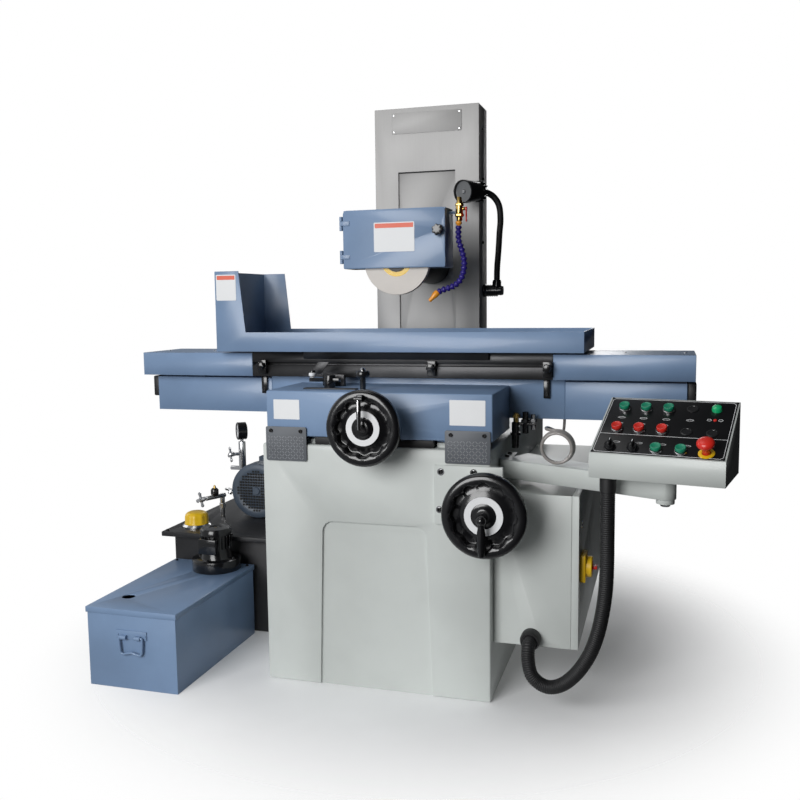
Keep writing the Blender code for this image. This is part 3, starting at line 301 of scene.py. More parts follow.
class Shape:
    """Collects forms into one mesh. Each form takes a material and a place."""

    def __init__(self, name):
        self.name = name
        self.bm = bmesh.new()
        self.materials = []

    def put(self, form, material, place=None):
        if material not in self.materials:
            self.materials.append(material)
        index = self.materials.index(material)
        for face in form.faces:
            face.material_index = index
        bmesh.ops.recalc_face_normals(form, faces=form.faces)
        if place is not None:
            form.transform(place)
        mesh = bpy.data.meshes.new("form")
        form.to_mesh(mesh)
        form.free()
        self.bm.from_mesh(mesh)
        bpy.data.meshes.remove(mesh)
        return self

    def box(self, low, high, material, bevel=0.0012, place=None):
        form = bmesh.new()
        size = Vector(high) - Vector(low)
        bmesh.ops.create_cube(form, size=1.0)
        bmesh.ops.scale(form, vec=size, verts=form.verts)
        bmesh.ops.translate(form, vec=Vector(low) + size / 2, verts=form.verts)
        if bevel:
            bmesh.ops.bevel(form, geom=form.edges[:], offset=min(bevel, min(size) * 0.45),
                            segments=2, profile=0.5, affect="EDGES")
        return self.put(form, material, place)

    def lathe(self, profile, material, place, segments=48, wave=None, closed=False):
        """Turns (radius, height) points about +Z. wave(angle, radius, height) may move a point."""
        form = bmesh.new()
        rings = []
        for radius, height in profile:
            if radius == 0:
                rings.append([form.verts.new((0, 0, height))] * segments)
                continue
            ring = []
            for k in range(segments):
                angle = 2 * math.pi * k / segments
                r, h = wave(angle, radius, height) if wave else (radius, height)
                ring.append(form.verts.new((r * math.cos(angle), r * math.sin(angle), h)))
            rings.append(ring)
        pairs = list(zip(rings, rings[1:] + ([rings[0]] if closed else [])))
        for first, second in pairs:
            for k in range(segments):
                m = (k + 1) % segments
                corners = [first[k], first[m], second[m], second[k]]
                corners = list(dict.fromkeys(corners))
                if len(corners) > 2:
                    form.faces.new(corners)
        return self.put(form, material, place)

    def rod(self, start, end, radius, material):
        """A round bar between two points, with softened ends."""
        start, end = Vector(start), Vector(end)
        length = (end - start).length
        soft = min(0.0008, radius * 0.2, length * 0.2)
        profile = [(0, 0), (radius - soft, 0), (radius, soft), (radius, length - soft),
                   (radius - soft, length), (0, length)]
        return self.lathe(profile, material, aim(start, end - start), 24)

    def sweep(self, points, radius, material, sides):
        """A round tube along points. radius is a number or a function of the point's index."""
        form = bmesh.new()
        rings = []
        normal = None
        for i, point in enumerate(points):
            ahead = (points[min(i + 1, len(points) - 1)] - points[max(i - 1, 0)]).normalized()
            if normal is None:
                normal = ahead.orthogonal().normalized()
            normal = (normal - ahead * normal.dot(ahead)).normalized()
            side = ahead.cross(normal)
            size = radius(i) if callable(radius) else radius
            rings.append([form.verts.new(point + size * (
                normal * math.cos(2 * math.pi * k / sides)
                + side * math.sin(2 * math.pi * k / sides))) for k in range(sides)])
        for first, second in zip(rings, rings[1:]):
            for k in range(sides):
                m = (k + 1) % sides
                form.faces.new((first[k], first[m], second[m], second[k]))
        form.faces.new(rings[0][::-1])
        form.faces.new(rings[-1])
        return self.put(form, material)

    def prism(self, outline, thickness, material, place, bevel=0.0):
        """A flat plate with the given outline in its own XY plane."""
        form = bmesh.new()
        base = form.faces.new([form.verts.new((u, v, 0)) for u, v in outline])
        grown = bmesh.ops.extrude_face_region(form, geom=[base])
        tops = [g for g in grown["geom"] if isinstance(g, bmesh.types.BMVert)]
        bmesh.ops.translate(form, vec=(0, 0, thickness), verts=tops)
        if bevel:
            bmesh.ops.bevel(form, geom=form.edges[:], offset=bevel, segments=2, profile=0.5,
                            affect="EDGES")
        return self.put(form, material, place)

    def screw(self, point, direction, radius=0.005):
        """A socket cap screw whose head stands on a face."""
        place = aim(point, direction)
        height = radius * 0.9
        self.lathe([(0, 0), (radius, 0), (radius, height * 0.8), (radius * 0.85, height),
                    (radius * 0.5, height), (radius * 0.5, height * 0.35), (0, height * 0.35)],
                   BLACK, place, 20)
        # The near-black disc at the bottom of the socket is painted shade in the hole.
        return self.lathe([(0, height * 0.36), (radius * 0.49, height * 0.36), (0, height * 0.42)],
                          SHADE_AND_MARKS, place, 6)

    def done(self, body, slot=None, replaces=()):
        mesh = bpy.data.meshes.new(self.name)
        self.bm.to_mesh(mesh)
        self.bm.free()
        for material in self.materials:
            mesh.materials.append(material)
        mesh.shade_smooth()
        mesh.set_sharp_from_angle(angle=CREASE)
        obj = bpy.data.objects.new(self.name, mesh)
        bpy.context.scene.collection.objects.link(obj)
        if body:
            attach(obj, body)
        if replaces:
            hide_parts(*replaces)
        return obj


def aim(point, direction):
    """The place that puts a form's origin at point and its +Z along direction."""
    turn = Vector(direction).to_track_quat("Z", "Y").to_matrix().to_4x4()
    return Matrix.Translation(Vector(point)) @ turn


OPERATOR = (0, -1, 0)
AWAY = (0, 1, 0)
UP = (0, 0, 1)
RIGHT = (1, 0, 0)


def standing(x, y, z):
    """The place of an upright form whose origin is at the point."""
    return Matrix.Translation(at(x, y, z))


def turned(place, degrees):
    return place @ Matrix.Rotation(math.radians(degrees), 4, "Z")


def spoke(place, k, count):
    """The k-th of count equal turns about the place's own axis."""
    return place @ Matrix.Rotation(2 * math.pi * k / count, 4, "Z")


def smooth(points, steps):
    """Points along a Catmull-Rom curve through the given ones."""
    path = [Vector(p) for p in points]
    path = [2 * path[0] - path[1]] + path + [2 * path[-1] - path[-2]]
    out = []
    for a, b, c, d in zip(path, path[1:], path[2:], path[3:]):
        for k in range(steps):
            t = k / steps
            out.append(0.5 * (2 * b + (c - a) * t + (2 * a - 5 * b + 4 * c - d) * t * t
                              + (3 * b - a - 3 * c + d) * t ** 3))
    return out + [path[-2]]


def even(points, gap):
    """The same path with a point about every gap."""
    total = length_of(points)
    count = max(2, round(total / gap))
    out, walked, target = [points[0]], 0.0, total / count
    for a, b in zip(points, points[1:]):
        step = (b - a).length
        while walked + step >= target - 1e-9 and len(out) < count:
            out.append(a.lerp(b, (target - walked) / step))
            target += total / count
        walked += step
    return out + [points[-1]]


def length_of(points):
    return sum((b - a).length for a, b in zip(points, points[1:]))


def rectangle(u, v, radius):
    """The outline of a rectangle with round corners."""
    steps = 5
    out = []
    for cu, cv, first in ((u[1] - radius, v[0] + radius, -90), (u[1] - radius, v[1] - radius, 0),
                          (u[0] + radius, v[1] - radius, 90), (u[0] + radius, v[0] + radius, 180)):
        for k in range(steps + 1):
            angle = math.radians(first + 90 * k / steps)
            out.append((cu + radius * math.cos(angle), cv + radius * math.sin(angle)))
    return out


def upright(x, y, z):
    """A plate's place on a face towards the operator: u along +X, v along +Z."""
    return standing(x, y, z) @ Matrix.Rotation(math.pi / 2, 4, "X")


# ---------------------------------------------------------------- the carried-over nodes
def dress_nodes():
    """Gives each CAD node its material, and soft edges where its faces meet."""
    slots = {s["node"]: s["material_slot"] for s in frame["record"]["subparts"]}
    for name, obj in frame["nodes"].items():
        obj.data.materials.clear()
        obj.data.materials.append(PAINTS[slots[name]])
        obj.data.shade_smooth()
        weld = obj.modifiers.new("weld", "WELD")
        weld.merge_threshold = 1e-5
        edge = obj.modifiers.new("soft edges", "BEVEL")
        edge.width = 0.0011
        edge.segments = 2
        edge.limit_method = "ANGLE"
        edge.angle_limit = CREASE
        edge.harden_normals = True


# ---------------------------------------------------------------- cords
CONDUIT_ROUTE = (
    (0.42, 0.0096, 0.177), (0.42, 0.002, 0.177), (0.42, -0.018, 0.168),
    (0.422, -0.031, 0.141), (0.431, -0.04, 0.11), (0.45, -0.045, 0.092), (0.475, -0.052, 0.086),
    (0.502, -0.058, 0.094), (0.528, -0.064, 0.114), (0.555, -0.07, 0.147),
    (0.58, -0.074, 0.192), (0.598, -0.077, 0.245), (0.609, -0.078, 0.3),
    (0.616, -0.078, 0.36), (0.618, -0.078, 0.42), (0.618, -0.078, 0.48),
    (0.618, -0.078, 0.54), (0.618, -0.078, 0.6), (0.618, -0.078, 0.6376))
CONDUIT_R = 0.018
LEAD_ROUTE = (
    (0.473, 0.3, 0.726), (0.473, 0.2953, 0.7085), (0.473, 0.2825, 0.6957),
    (0.473, 0.265, 0.691), (0.471, 0.235, 0.6935), (0.466, 0.195, 0.702),
    (0.458, 0.155, 0.7125), (0.451, 0.122, 0.7215), (0.449, 0.1, 0.725),
    (0.449, 0.085, 0.7255), (0.4537, 0.0675, 0.7255), (0.4665, 0.0547, 0.7255),
    (0.484, 0.05, 0.7255))
COIL = (0.484, 0.05, 0.684)
HOSE_D = 0.008


def make_conduit():
    """Corrugated conduit rising to the control panel's underside."""
    pitch = 0.0052
    path = even(smooth([at(*p) for p in CONDUIT_ROUTE], 8), pitch / 4)
    ribs = (0.0, -0.0004, -0.0016, -0.0004)
    shape = Shape("corrugated_conduit")
    shape.sweep(path, lambda i: CONDUIT_R - 0.0002 + ribs[i % 4], RUBBER, 20)
    conduit = shape.done(None)
    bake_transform(conduit)
    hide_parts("conduit")


def coil_points():
    """The drain hose's turns, each in front of the last and a little smaller."""
    outer, shrink, pitch = 0.0415, 0.0012, 0.0088
    out = []
    for angle in range(15, 3 * 360 + 195 + 1, 15):
        turns = angle / 360
        radius = outer - shrink * turns
        turn = math.radians(angle)
        out.append(at(COIL[0] + radius * math.sin(turn), COIL[1] - pitch * turns,
                      COIL[2] + radius * math.cos(turn)))
    return out


def make_drain_hose():
    route = [at(*p) for p in LEAD_ROUTE]
    path = even(smooth(route + coil_points(), 3), 0.004)
    shape = Shape("drain_hose")
    shape.sweep(path, HOSE_D / 2, PAINTS["clear_hose"], 12)
    hose = shape.done("saddle", "clear_hose", ("drain_hose_lead", "drain_hose_coil"))


# ---------------------------------------------------------------- handwheels
def make_handwheel(name, centre, radius, shaft_radius, shaft_length):
    """A dished phenolic handwheel with a finger wave inside its rim and a white ring."""
    x, y, z = centre
    place = aim(at(x, y, z), OPERATOR)
    half = 0.017
    lobes, depth = 12, 0.0028

    def wave(angle, r, h):
        near = math.exp(-((r - (radius - 0.0275)) / 0.006) ** 2)
        return r + depth * near * math.cos(lobes * angle), h

    profile = [
        (0, half - 0.003), (0.016, half - 0.003), (0.02, half - 0.004), (0.0225, half - 0.007),
        (0.03, half - 0.01), (radius * 0.47, half - 0.012), (radius - 0.045, -half + 0.016),
        (radius - 0.034, -half + 0.012), (radius - 0.03, -half + 0.013),
        (radius - 0.0275, half - 0.01), (radius - 0.026, half - 0.004),
        (radius - 0.022, half - 0.0008), (radius - 0.016, half), (radius - 0.008, half - 0.0012),
        (radius - 0.003, half - 0.004), (radius, half - 0.01), (radius, -half + 0.01),
        (radius - 0.003, -half + 0.004), (radius - 0.01, -half), (radius - 0.024, -half + 0.003),
        (0.04, -half + 0.006), (0.024, -half - 0.004), (0.024, -half - 0.01),
        (shaft_radius, -half - 0.01), (shaft_radius, -shaft_length), (0, -shaft_length)]
    shape = Shape(name)
    shape.lathe(profile, BLACK, place, 144, wave)
    ring = (radius * 0.3, radius * 0.455)
    level = half - 0.0098
    shape.lathe([(ring[0], level - 0.002), (ring[1], level - 0.002), (ring[1], level + 0.0006),
                 (ring[0], level + 0.0006)], WHITE, place, 96, closed=True)
    shape.lathe([(0, half - 0.0032), (0.0105, half - 0.0032), (0.0112, half - 0.0024),
                 (0.01, half - 0.0012), (0, half - 0.0012)], BLACK, place, 32)
    return shape


def make_handwheels():
    shape = make_handwheel("cross_handwheel_dished", CROSS_WHEEL, CROSS_WHEEL_R, 0.011, 0.13)
    x, y, z = CROSS_WHEEL
    lug = CROSS_WHEEL_R - 0.02
    shape.box(at(x - 0.009, y - 0.03, z + lug - 0.008), at(x + 0.009, y + 0.002, z + lug + 0.009),
              BLACK, 0.003)
    shape.done("cross_handwheel", "black_plastic", ("cross_handwheel",))

    front = y - 0.036
    lever = Shape("cross_folding_lever")
    lever.box(at(x - 0.0055, front - 0.005, z + lug - 0.08), at(x + 0.0055, front + 0.005, z + lug),
              BLACK, 0.003)
    lever.box(at(x - 0.0016, front - 0.0072, z + lug - 0.078),
              at(x + 0.0016, front - 0.0045, z + lug - 0.003), STEEL, 0.0008)
    lever.rod(at(x - 0.011, front, z + lug), at(x + 0.011, front, z + lug), 0.0065, BLACK)
    lever.done("cross_handle", "black_plastic", ("cross_handwheel_handle",))

    shape = make_handwheel("vertical_handwheel_dished", LIFT_WHEEL, LIFT_WHEEL_R, 0.012, 0.085)
    x, y, z = LIFT_WHEEL
    lug = LIFT_WHEEL_R - 0.02
    shape.box(at(x - 0.009, y - 0.03, z - lug - 0.009), at(x + 0.009, y + 0.002, z - lug + 0.008),
              BLACK, 0.003)
    shape.done("vertical_handwheel", "black_plastic", ("vertical_handwheel",))

    front = y - 0.036
    grip = Shape("vertical_folding_grip")
    turning = aim(at(x, front, z - lug), UP)
    ball, centre = 0.0125, 0.083
    sphere = [(ball * math.cos(t), centre + ball * math.sin(t))
              for t in [math.radians(-50 + 14 * k) for k in range(10)]]
    grip.lathe([(0, -0.006), (0.0075, -0.006), (0.009, 0.004), (0.011, 0.02), (0.0108, 0.05),
                (0.008, 0.07)] + sphere + [(0, centre + ball)], BLACK, turning, 32)
    grip.done("vertical_handle", "black_plastic", ("vertical_handwheel_handle",))


# ---------------------------------------------------------------- wheel, guard and coolant hose
def make_wheel():
    x, _, z = WHEEL_CENTRE
    place = aim(at(x, 0.332, z), OPERATOR)
    wheel = Shape("abrasive_wheel")
    wheel.lathe([(0.099, 0.0), (0.1, 0.0012), (0.1, 0.0188), (0.099, 0.02),
                 (0.0164, 0.02), (0.0164, 0.0)], PAINTS["abrasive"], place, 160, closed=True)
    wheel.done("spindle", "abrasive", ("grinding_wheel",))
    trim = Shape("wheel_blotter_and_flange")
    trim.lathe([(0.0335, 0.0201), (0.047, 0.0201), (0.0468, 0.0208), (0.0337, 0.0208)],
               YELLOW, place, 96, closed=True)
    trim.lathe([(0.016, 0.0246), (0.0325, 0.0246), (0.0318, 0.0252), (0.0166, 0.0252)],
               PAINTS["charcoal_paint"], place, 64, closed=True)
    trim.done("spindle")


def make_star_knob(name, body, point, direction, radius, height, replaces=(), stem=0.004):
    """A lobed clamping knob on a short stem."""
    lobes = 7

    def wave(angle, r, h):
        edge = max(0.0, (r - radius * 0.55) / (radius * 0.45))
        return r * (1 - 0.16 * edge * (1 - math.cos(lobes * angle)) / 2), h

    shape = Shape(name)
    shape.lathe([(0, 0.0005), (radius * 0.5, 0.0005), (radius * 0.55, height * 0.3),
                 (radius * 0.92, height * 0.35), (radius, height * 0.5), (radius, height * 0.8),
                 (radius * 0.88, height * 0.95), (radius * 0.5, height), (0, height)],
                BLACK, aim(point, direction), 84, wave)
    shape.rod(Vector(point) - Vector(direction) * stem, Vector(point) + Vector(direction) * 0.001,
              0.0036, STEEL)
    shape.done(body, "black_plastic", replaces)


def make_guard_trim():
    """Door hinge, blank label and star knob on the wheel guard."""
    hinge = Shape("guard_hinge_knuckles")
    pins = Shape("guard_hinge_pins")
    x, y, radius = -0.187, 0.302, 0.0052
    for low, high in ((1.17, 1.209), (1.267, 1.308)):
        third = (high - low) / 3
        hinge.rod(at(x, y, low), at(x, y, low + third - 0.0003), radius, BLUE)
        hinge.rod(at(x, y, high - third + 0.0003), at(x, y, high), radius, BLUE)
        hinge.box(at(-0.186, 0.3062, low), at(-0.1795, 0.326, high), BLUE, 0.0006)
        pins.rod(at(x, y, low + third), at(x, y, high - third), radius, BLUE)
        pins.box(at(-0.186, 0.2962, low + third), at(-0.16, 0.2979, high - third), BLUE, 0.0006)
    hinge.done("wheelhead", "blue_paint")
    pins.done("guard_door", "blue_paint")

    label = Shape("guard_blank_label")
    label.prism(rectangle((-0.084, 0.039), (1.202, 1.287), 0.003), 0.0007, WHITE,
                upright(0, 0.298, 0))
    label.prism(rectangle((-0.081, 0.036), (1.271, 1.284), 0.0015), 0.001, LABEL_RED,
                upright(0, 0.298, 0))
    label.done("guard_door")
    make_star_knob("guard_star_knob", "guard_knob", at(0.112, 0.298, 1.26), OPERATOR, 0.0172,
                   0.024, ("guard_door_knob",), 0.01)


HOSE_ROUTE = (
    (0.159, 0.35, 1.2876), (0.158, 0.35, 1.262), (0.158, 0.35, 1.236),
    (0.165, 0.349, 1.213), (0.172, 0.348, 1.19), (0.176, 0.346, 1.166),
    (0.174, 0.344, 1.143), (0.168, 0.342, 1.122), (0.155, 0.339, 1.106),
    (0.136, 0.335, 1.096), (0.116, 0.331, 1.09), (0.099, 0.327, 1.082))


def make_coolant_hose():
    """Jointed hose: bell-shaped links that nest in each other, and its nozzle."""
    path = smooth([at(*p) for p in HOSE_ROUTE], 10)
    links = even(path, 0.0135)
    blue = PAINTS["hose_blue"]
    shape = Shape("jointed_coolant_hose")
    for here, ahead in zip(links, links[1:]):
        run = (ahead - here).length
        shape.lathe([(0.004, 0.0), (0.007, 0.0005), (0.009, run * 0.22), (0.0095, run * 0.45),
                     (0.0086, run * 0.62), (0.0062, run * 0.78), (0.0056, run), (0.004, run)],
                    blue if here is not links[0] else ORANGE, aim(here, ahead - here), 28,
                    closed=True)
    tip = links[-1]
    goal = at(0.076, 0.318, 1.056)
    way = (goal - tip).normalized()
    shape.lathe([(0, -0.002), (0.0085, -0.002), (0.0095, 0.004), (0.009, 0.012), (0.0062, 0.02),
                 (0.0052, 0.034), (0.0036, 0.034), (0.0034, 0.024), (0, 0.024)], ORANGE,
                aim(tip, way), 28)
    shape.done("coolant_hose", "hose_blue", ("coolant_hose",))

    nuts = Shape("valve_hex_nuts")
    for low, high, size in ((1.3, 1.308, 0.0132), (1.33, 1.337, 0.0128)):
        nuts.lathe([(0.006, low), (size - 0.0008, low), (size, low + 0.0012),
                    (size, high - 0.0012), (size - 0.0008, high), (0.006, high)],
                   BRASS, standing(0.161, 0.35, 0), 6, closed=True)
    nuts.done("wheelhead", "brass")


# ---------------------------------------------------------------- column and lamp
def make_column_trim():
    plate = Shape("column_blank_plate")
    plate.prism(rectangle((-0.153, 0.086), (1.613, 1.681), 0.004), 0.0015,
                SHEET_STEEL, upright(0, 0.7178, 0), 0.0004)
    for x in (-0.146, 0.079):
        for z in (1.62, 1.674):
            plate.lathe([(0, 0.0), (0.0032, 0.0), (0.0026, 0.0013), (0, 0.0019)], STEEL,
                        aim(at(x, 0.7163, z), OPERATOR), 20)
    plate.done("root", "stainless")

    screws = Shape("column_cover_screws")
    for z in (0.8, 1.1, 1.25, 1.46, 1.62):
        for x, way in ((0.1432, RIGHT), (-0.2132, (-1, 0, 0))):
            screws.screw(at(x, 0.775, z), way, 0.0055)
    screws.done("root", "black_plastic")

    seams = Shape("way_shield_ribs")
    for x in (-0.112, -0.034, 0.044):
        for low, high in ((0.806, 1.104), (1.25, 1.478)):
            seams.box(at(x - 0.0012, 0.7256, low), at(x + 0.0012, 0.7268, high),
                      SHEET_STEEL, 0.0005)
    seams.done("wheelhead", "stainless")

    motor = Shape("spindle_motor_fins")
    cx, _, cz = WHEEL_CENTRE
    for k in range(36):
        angle = 2 * math.pi * k / 36
        if 50 < math.degrees(angle) < 130:
            continue
        spin = aim(at(cx, 0.972, cz), AWAY) @ Matrix.Rotation(angle, 4, "Z")
        motor.box((0.081, -0.0014, 0.004), (0.0895, 0.0014, 0.14), MOTOR, 0.0006, spin)
    motor.lathe([(0.0822, 0.142), (0.0905, 0.142), (0.0905, 0.178), (0.084, 0.1895),
                 (0.03, 0.1895), (0.03, 0.1905), (0.085, 0.1908), (0.0917, 0.179),
                 (0.0917, 0.141), (0.0822, 0.141)], MOTOR, aim(at(cx, 0.9664, cz), AWAY), 72,
                closed=True)
    motor.done("wheelhead", "motor_paint")


def make_way_bellows():
    """Folded way covers above and below the wheelhead's shield."""
    width, fold, thick = 0.204, 0.0014, 0.001
    sideways = Matrix(((0, 0, 1, 0), (1, 0, 0, 0), (0, 1, 0, 0), (0, 0, 0, 1)))
    for name, fixed, moving, folds in (("way_bellows_upper", 1.6, 1.484, 14),
                                       ("way_bellows_lower", 0.698, 0.8, 12)):
        step = (fixed - moving) / folds
        front = [(fold * (k % 2), moving + step * k) for k in range(folds + 1)]
        rear = [(u + thick, v) for u, v in reversed(front)]
        shape = Shape(name)
        shape.prism(front + rear, width, RUBBER,
                    standing(-0.137, 0.727, 0) @ sideways)
        bellows = shape.done(None)
        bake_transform(bellows)


NECK_ROUTE = (
    (0.189, 0.79, 1.1124), (0.19, 0.79, 1.165), (0.195, 0.788, 1.224), (0.2, 0.78, 1.282),
    (0.205, 0.77, 1.324), (0.203, 0.754, 1.368), (0.188, 0.733, 1.396), (0.166, 0.709, 1.409),
    (0.154, 0.699, 1.411))


def make_lamp():
    """Work lamp on a ribbed gooseneck, with its glass face."""
    path = even(smooth([at(*p) for p in NECK_ROUTE], 8), 0.0012)
    lamp = Shape("gooseneck_lamp")
    lamp.sweep(path, lambda i: 0.0105 if i % 3 else 0.0098, RUBBER, 16)
    rear = at(0.158, 0.703, 1.411)
    place = aim(rear, at(0.112, 0.609, 1.402) - rear)
    lamp.lathe([(0, -0.004), (0.012, -0.003), (0.02, 0.003), (0.028, 0.018), (0.032, 0.038),
                (0.034, 0.064), (0.037, 0.09), (0.037, 0.1045), (0.034, 0.105),
                (0.033, 0.1), (0.03, 0.086), (0, 0.082)], BLACK, place, 64)
    lamp.lathe([(0, 0.096), (0.033, 0.096), (0.0332, 0.0972), (0, 0.0982)], GLASS, place, 64)
    lamp.lathe([(0, 0.0982), (0.007, 0.0982), (0.005, 0.1005), (0, 0.101)],
               STEEL, place, 28)
    for k in range(14):
        spin = spoke(place, k, 14)
        lamp.box((0.02, -0.001, 0.01), (0.0335, 0.001, 0.036), BLACK, 0.0005, spin)
    lamp.done("work_lamp", "black_plastic", ("work_lamp",))

    clamp = Shape("lamp_magnetic_base")
    out = aim(at(0.1435, 0.79, 1.09), RIGHT)
    clamp.lathe([(0, 0), (0.0215, 0), (0.0215, 0.006), (0.019, 0.009), (0.018, 0.03),
                 (0.016, 0.052), (0.0165, 0.06), (0.015, 0.0665), (0, 0.067)], BLACK, out, 56)
    for k in range(5):
        near = 0.014 + k * 0.0075
        clamp.lathe([(0.015, near), (0.0202, near), (0.0202, near + 0.003),
                     (0.015, near + 0.003)], BLACK, out, 56, closed=True)
    clamp.lathe([(0.011, 0), (0.015, 0), (0.015, 0.018), (0.0135, 0.025), (0.011, 0.025)],
                BLACK, aim(at(0.189, 0.79, 1.1), UP), 40, closed=True)
    clamp.done("root", "black_plastic", ("lamp_bracket",))


# ---------------------------------------------------------------- control panel
def face_frame():
    """The sloped face's frame: +X to the right, +Y up the slope, +Z out of it."""
    swing = standing(*PANEL_ORIGIN) @ Matrix.Rotation(PANEL_YAW, 4, "Z")
    return swing @ Matrix.Translation((0, 0, PANEL_FRONT_H)) @ Matrix.Rotation(PANEL_SLOPE, 4, "X")


def on_face(u, v, w=0.0):
    return face_frame() @ Matrix.Translation((u, v, w))


def strip(shape, start, end, width):
    """A thin white line printed on the panel's face."""
    rise = 0.0003
    (u0, v0), (u1, v1) = start, end
    run = math.hypot(u1 - u0, v1 - v0)
    place = on_face(u0, v0, PLATE_RISE) @ Matrix.Rotation(math.atan2(v1 - v0, u1 - u0), 4, "Z")
    shape.box((0, -width / 2, 0), (run, width / 2, rise), WHITE, 0.0, place)


PLATE_RISE = 0.0012


def make_panel_face():
    """Black face plate with its white border, bezels, lamp, blanks and plain symbols."""
    edge = 0.004
    plate = Shape("panel_face_plate")
    plate.prism(rectangle((edge, PANEL_W - edge), (edge, FACE_LENGTH - edge), 0.003),
                PLATE_RISE, FACE_BLACK, on_face(0, 0), 0.0003)
    rim = 0.0075
    u, v = (rim, PANEL_W - rim), (rim, FACE_LENGTH - rim)
    cut = 0.006
    corners = [(u[0] + cut, v[0]), (u[1] - cut, v[0]), (u[1], v[0] + cut), (u[1], v[1] - cut),
               (u[1] - cut, v[1]), (u[0] + cut, v[1]), (u[0], v[1] - cut), (u[0], v[0] + cut)]
    for first, second in zip(corners, corners[1:] + corners[:1]):
        strip(plate, first, second, 0.0011)
    strip(plate, (rim, 0.078), (PANEL_W - rim, 0.078), 0.0011)
    for cu in (0.006, PANEL_W - 0.006):
        for cv in (0.006, FACE_LENGTH - 0.006):
            plate.lathe([(0, 0), (0.0032, 0), (0.0026, 0.0012), (0, 0.0016)], FACE_BLACK,
                        on_face(cu, cv, 0.001), 16)
    for column in range(3):
        for row in (UPPER - 0.036, MIDDLE + 0.024):
            ellipse(plate, COLUMNS[column], row, 0.0085, 0.003)
    for column in range(4):
        ellipse(plate, COLUMNS[column] + 0.01, LOWER + 0.023, 0.008, 0.0028)
    ellipse(plate, 0.207, 0.146, 0.0085, 0.003)
    for cu in (0.25, 0.276):
        ellipse(plate, cu, 0.151, 0.005, 0.0036)
    plate.done("control_panel", "charcoal_paint")

    bezels = Shape("button_bezels")
    places = [(c, UPPER) for c in COLUMNS[:3]] + [(c, MIDDLE) for c in COLUMNS[:3]]
    places += [(COLUMNS[2], LOWER), (COLUMNS[3], LOWER)]
    for cu, cv in places:
        bezels.lathe([(0.0131, 0.0012), (0.0152, 0.0012), (0.015, 0.004), (0.0142, 0.0062),
                      (0.0133, 0.0066), (0.0131, 0.006)], STEEL, on_face(cu, cv), 40,
                     closed=True)
    for cu in COLUMNS[:2]:
        bezels.lathe([(0.0124, 0.0012), (0.015, 0.0012), (0.0146, 0.0032), (0.0124, 0.0036)],
                     BLACK, on_face(cu, LOWER), 40, closed=True)
    bezels.done("control_panel", "bright_steel")

    extras = Shape("panel_lamp_and_blanks")
    for cu, cv in ((0.206, 0.192), (0.207, 0.1), (0.265, 0.0995)):
        extras.lathe([(0, 0.0012), (0.0145, 0.0012), (0.0142, 0.0026), (0.011, 0.0032),
                      (0.0104, 0.0024), (0, 0.0022)], BLACK, on_face(cu, cv), 40)
    extras.lathe([(0, 0.0012), (0.0122, 0.0012), (0.0122, 0.006), (0.0105, 0.0105),
                  (0.006, 0.013), (0, 0.0136)],
                 finish("green_lens", (0.01, 0.42, 0.16), 0.14, coat=0.4, bump=0.0),
                 on_face(0.2616, 0.192), 40)
    extras.lathe([(0, 0.0012), (0.0042, 0.0012), (0.0034, 0.003), (0, 0.0038)],
                 RED, on_face(0.263, 0.151), 20)
    extras.lathe([(0.0106, 0.0012), (0.0185, 0.0012), (0.0183, 0.003), (0.0165, 0.0038),
                  (0.0106, 0.0038)], YELLOW, on_face(COLUMNS[4], LOWER), 56, closed=True)
    extras.done("control_panel")


def ellipse(shape, u, v, a, b):
    """A small white oval line, a plain symbol beside a button."""
    points = [(u + a * math.cos(math.radians(t)), v + b * math.sin(math.radians(t)))
              for t in range(0, 361, 24)]
    for first, second in zip(points, points[1:]):
        strip(shape, first, second, 0.001)


def make_buttons():
    """Turned button caps in the places of the CAD ones."""
    cap = [(0, -0.012), (0.007, -0.012), (0.007, 0.007), (0.0118, 0.0075), (0.0125, 0.0084),
           (0.0125, 0.015), (0.0119, 0.0161), (0.0105, 0.0165), (0.0095, 0.016), (0, 0.0158)]
    layout = (("start_button", UPPER, "green_plastic"), ("stop_button", MIDDLE, "red_plastic"))
    spots = [(f"{kind}_{i + 1}", COLUMNS[i], row, colour)
             for kind, row, colour in layout for i in range(3)]
    spots += [("jog_button_left", COLUMNS[2], LOWER, "green_plastic"),
              ("jog_button_right", COLUMNS[3], LOWER, "green_plastic")]
    for name, cu, row, colour in spots:
        shape = Shape(name + "_cap")
        shape.lathe(cap, PAINTS[colour], on_face(cu, row), 44)
        shape.done(name, colour, (name,))

    stop = Shape("emergency_stop_mushroom")
    stop.lathe([(0, -0.012), (0.0095, -0.012), (0.0095, 0.016), (0.0125, 0.021), (0.0185, 0.0245),
                (0.0202, 0.0275), (0.0202, 0.032), (0.019, 0.0355), (0.015, 0.039),
                (0.008, 0.0408), (0, 0.0412)], RED, on_face(COLUMNS[4], LOWER), 56)
    stop.done("emergency_stop", "red_plastic", ("emergency_stop",))

    for name, column in (("selector_left", 0), ("selector_right", 1)):
        place = on_face(COLUMNS[column], LOWER)
        knob = Shape(name + "_handle")
        knob.lathe([(0, -0.012), (0.006, -0.012), (0.006, 0.0015), (0.0118, 0.002),
                    (0.012, 0.012), (0.0108, 0.014), (0, 0.014)], BLACK, place, 40)
        knob.box((-0.0036, -0.0112, 0.013), (0.0036, 0.0112, 0.0215), BLACK, 0.0016, place)
        knob.box((-0.0006, 0.003, 0.0212), (0.0006, 0.0108, 0.0219), WHITE, 0.0, place)
        knob.done(name, "black_plastic", (name,))


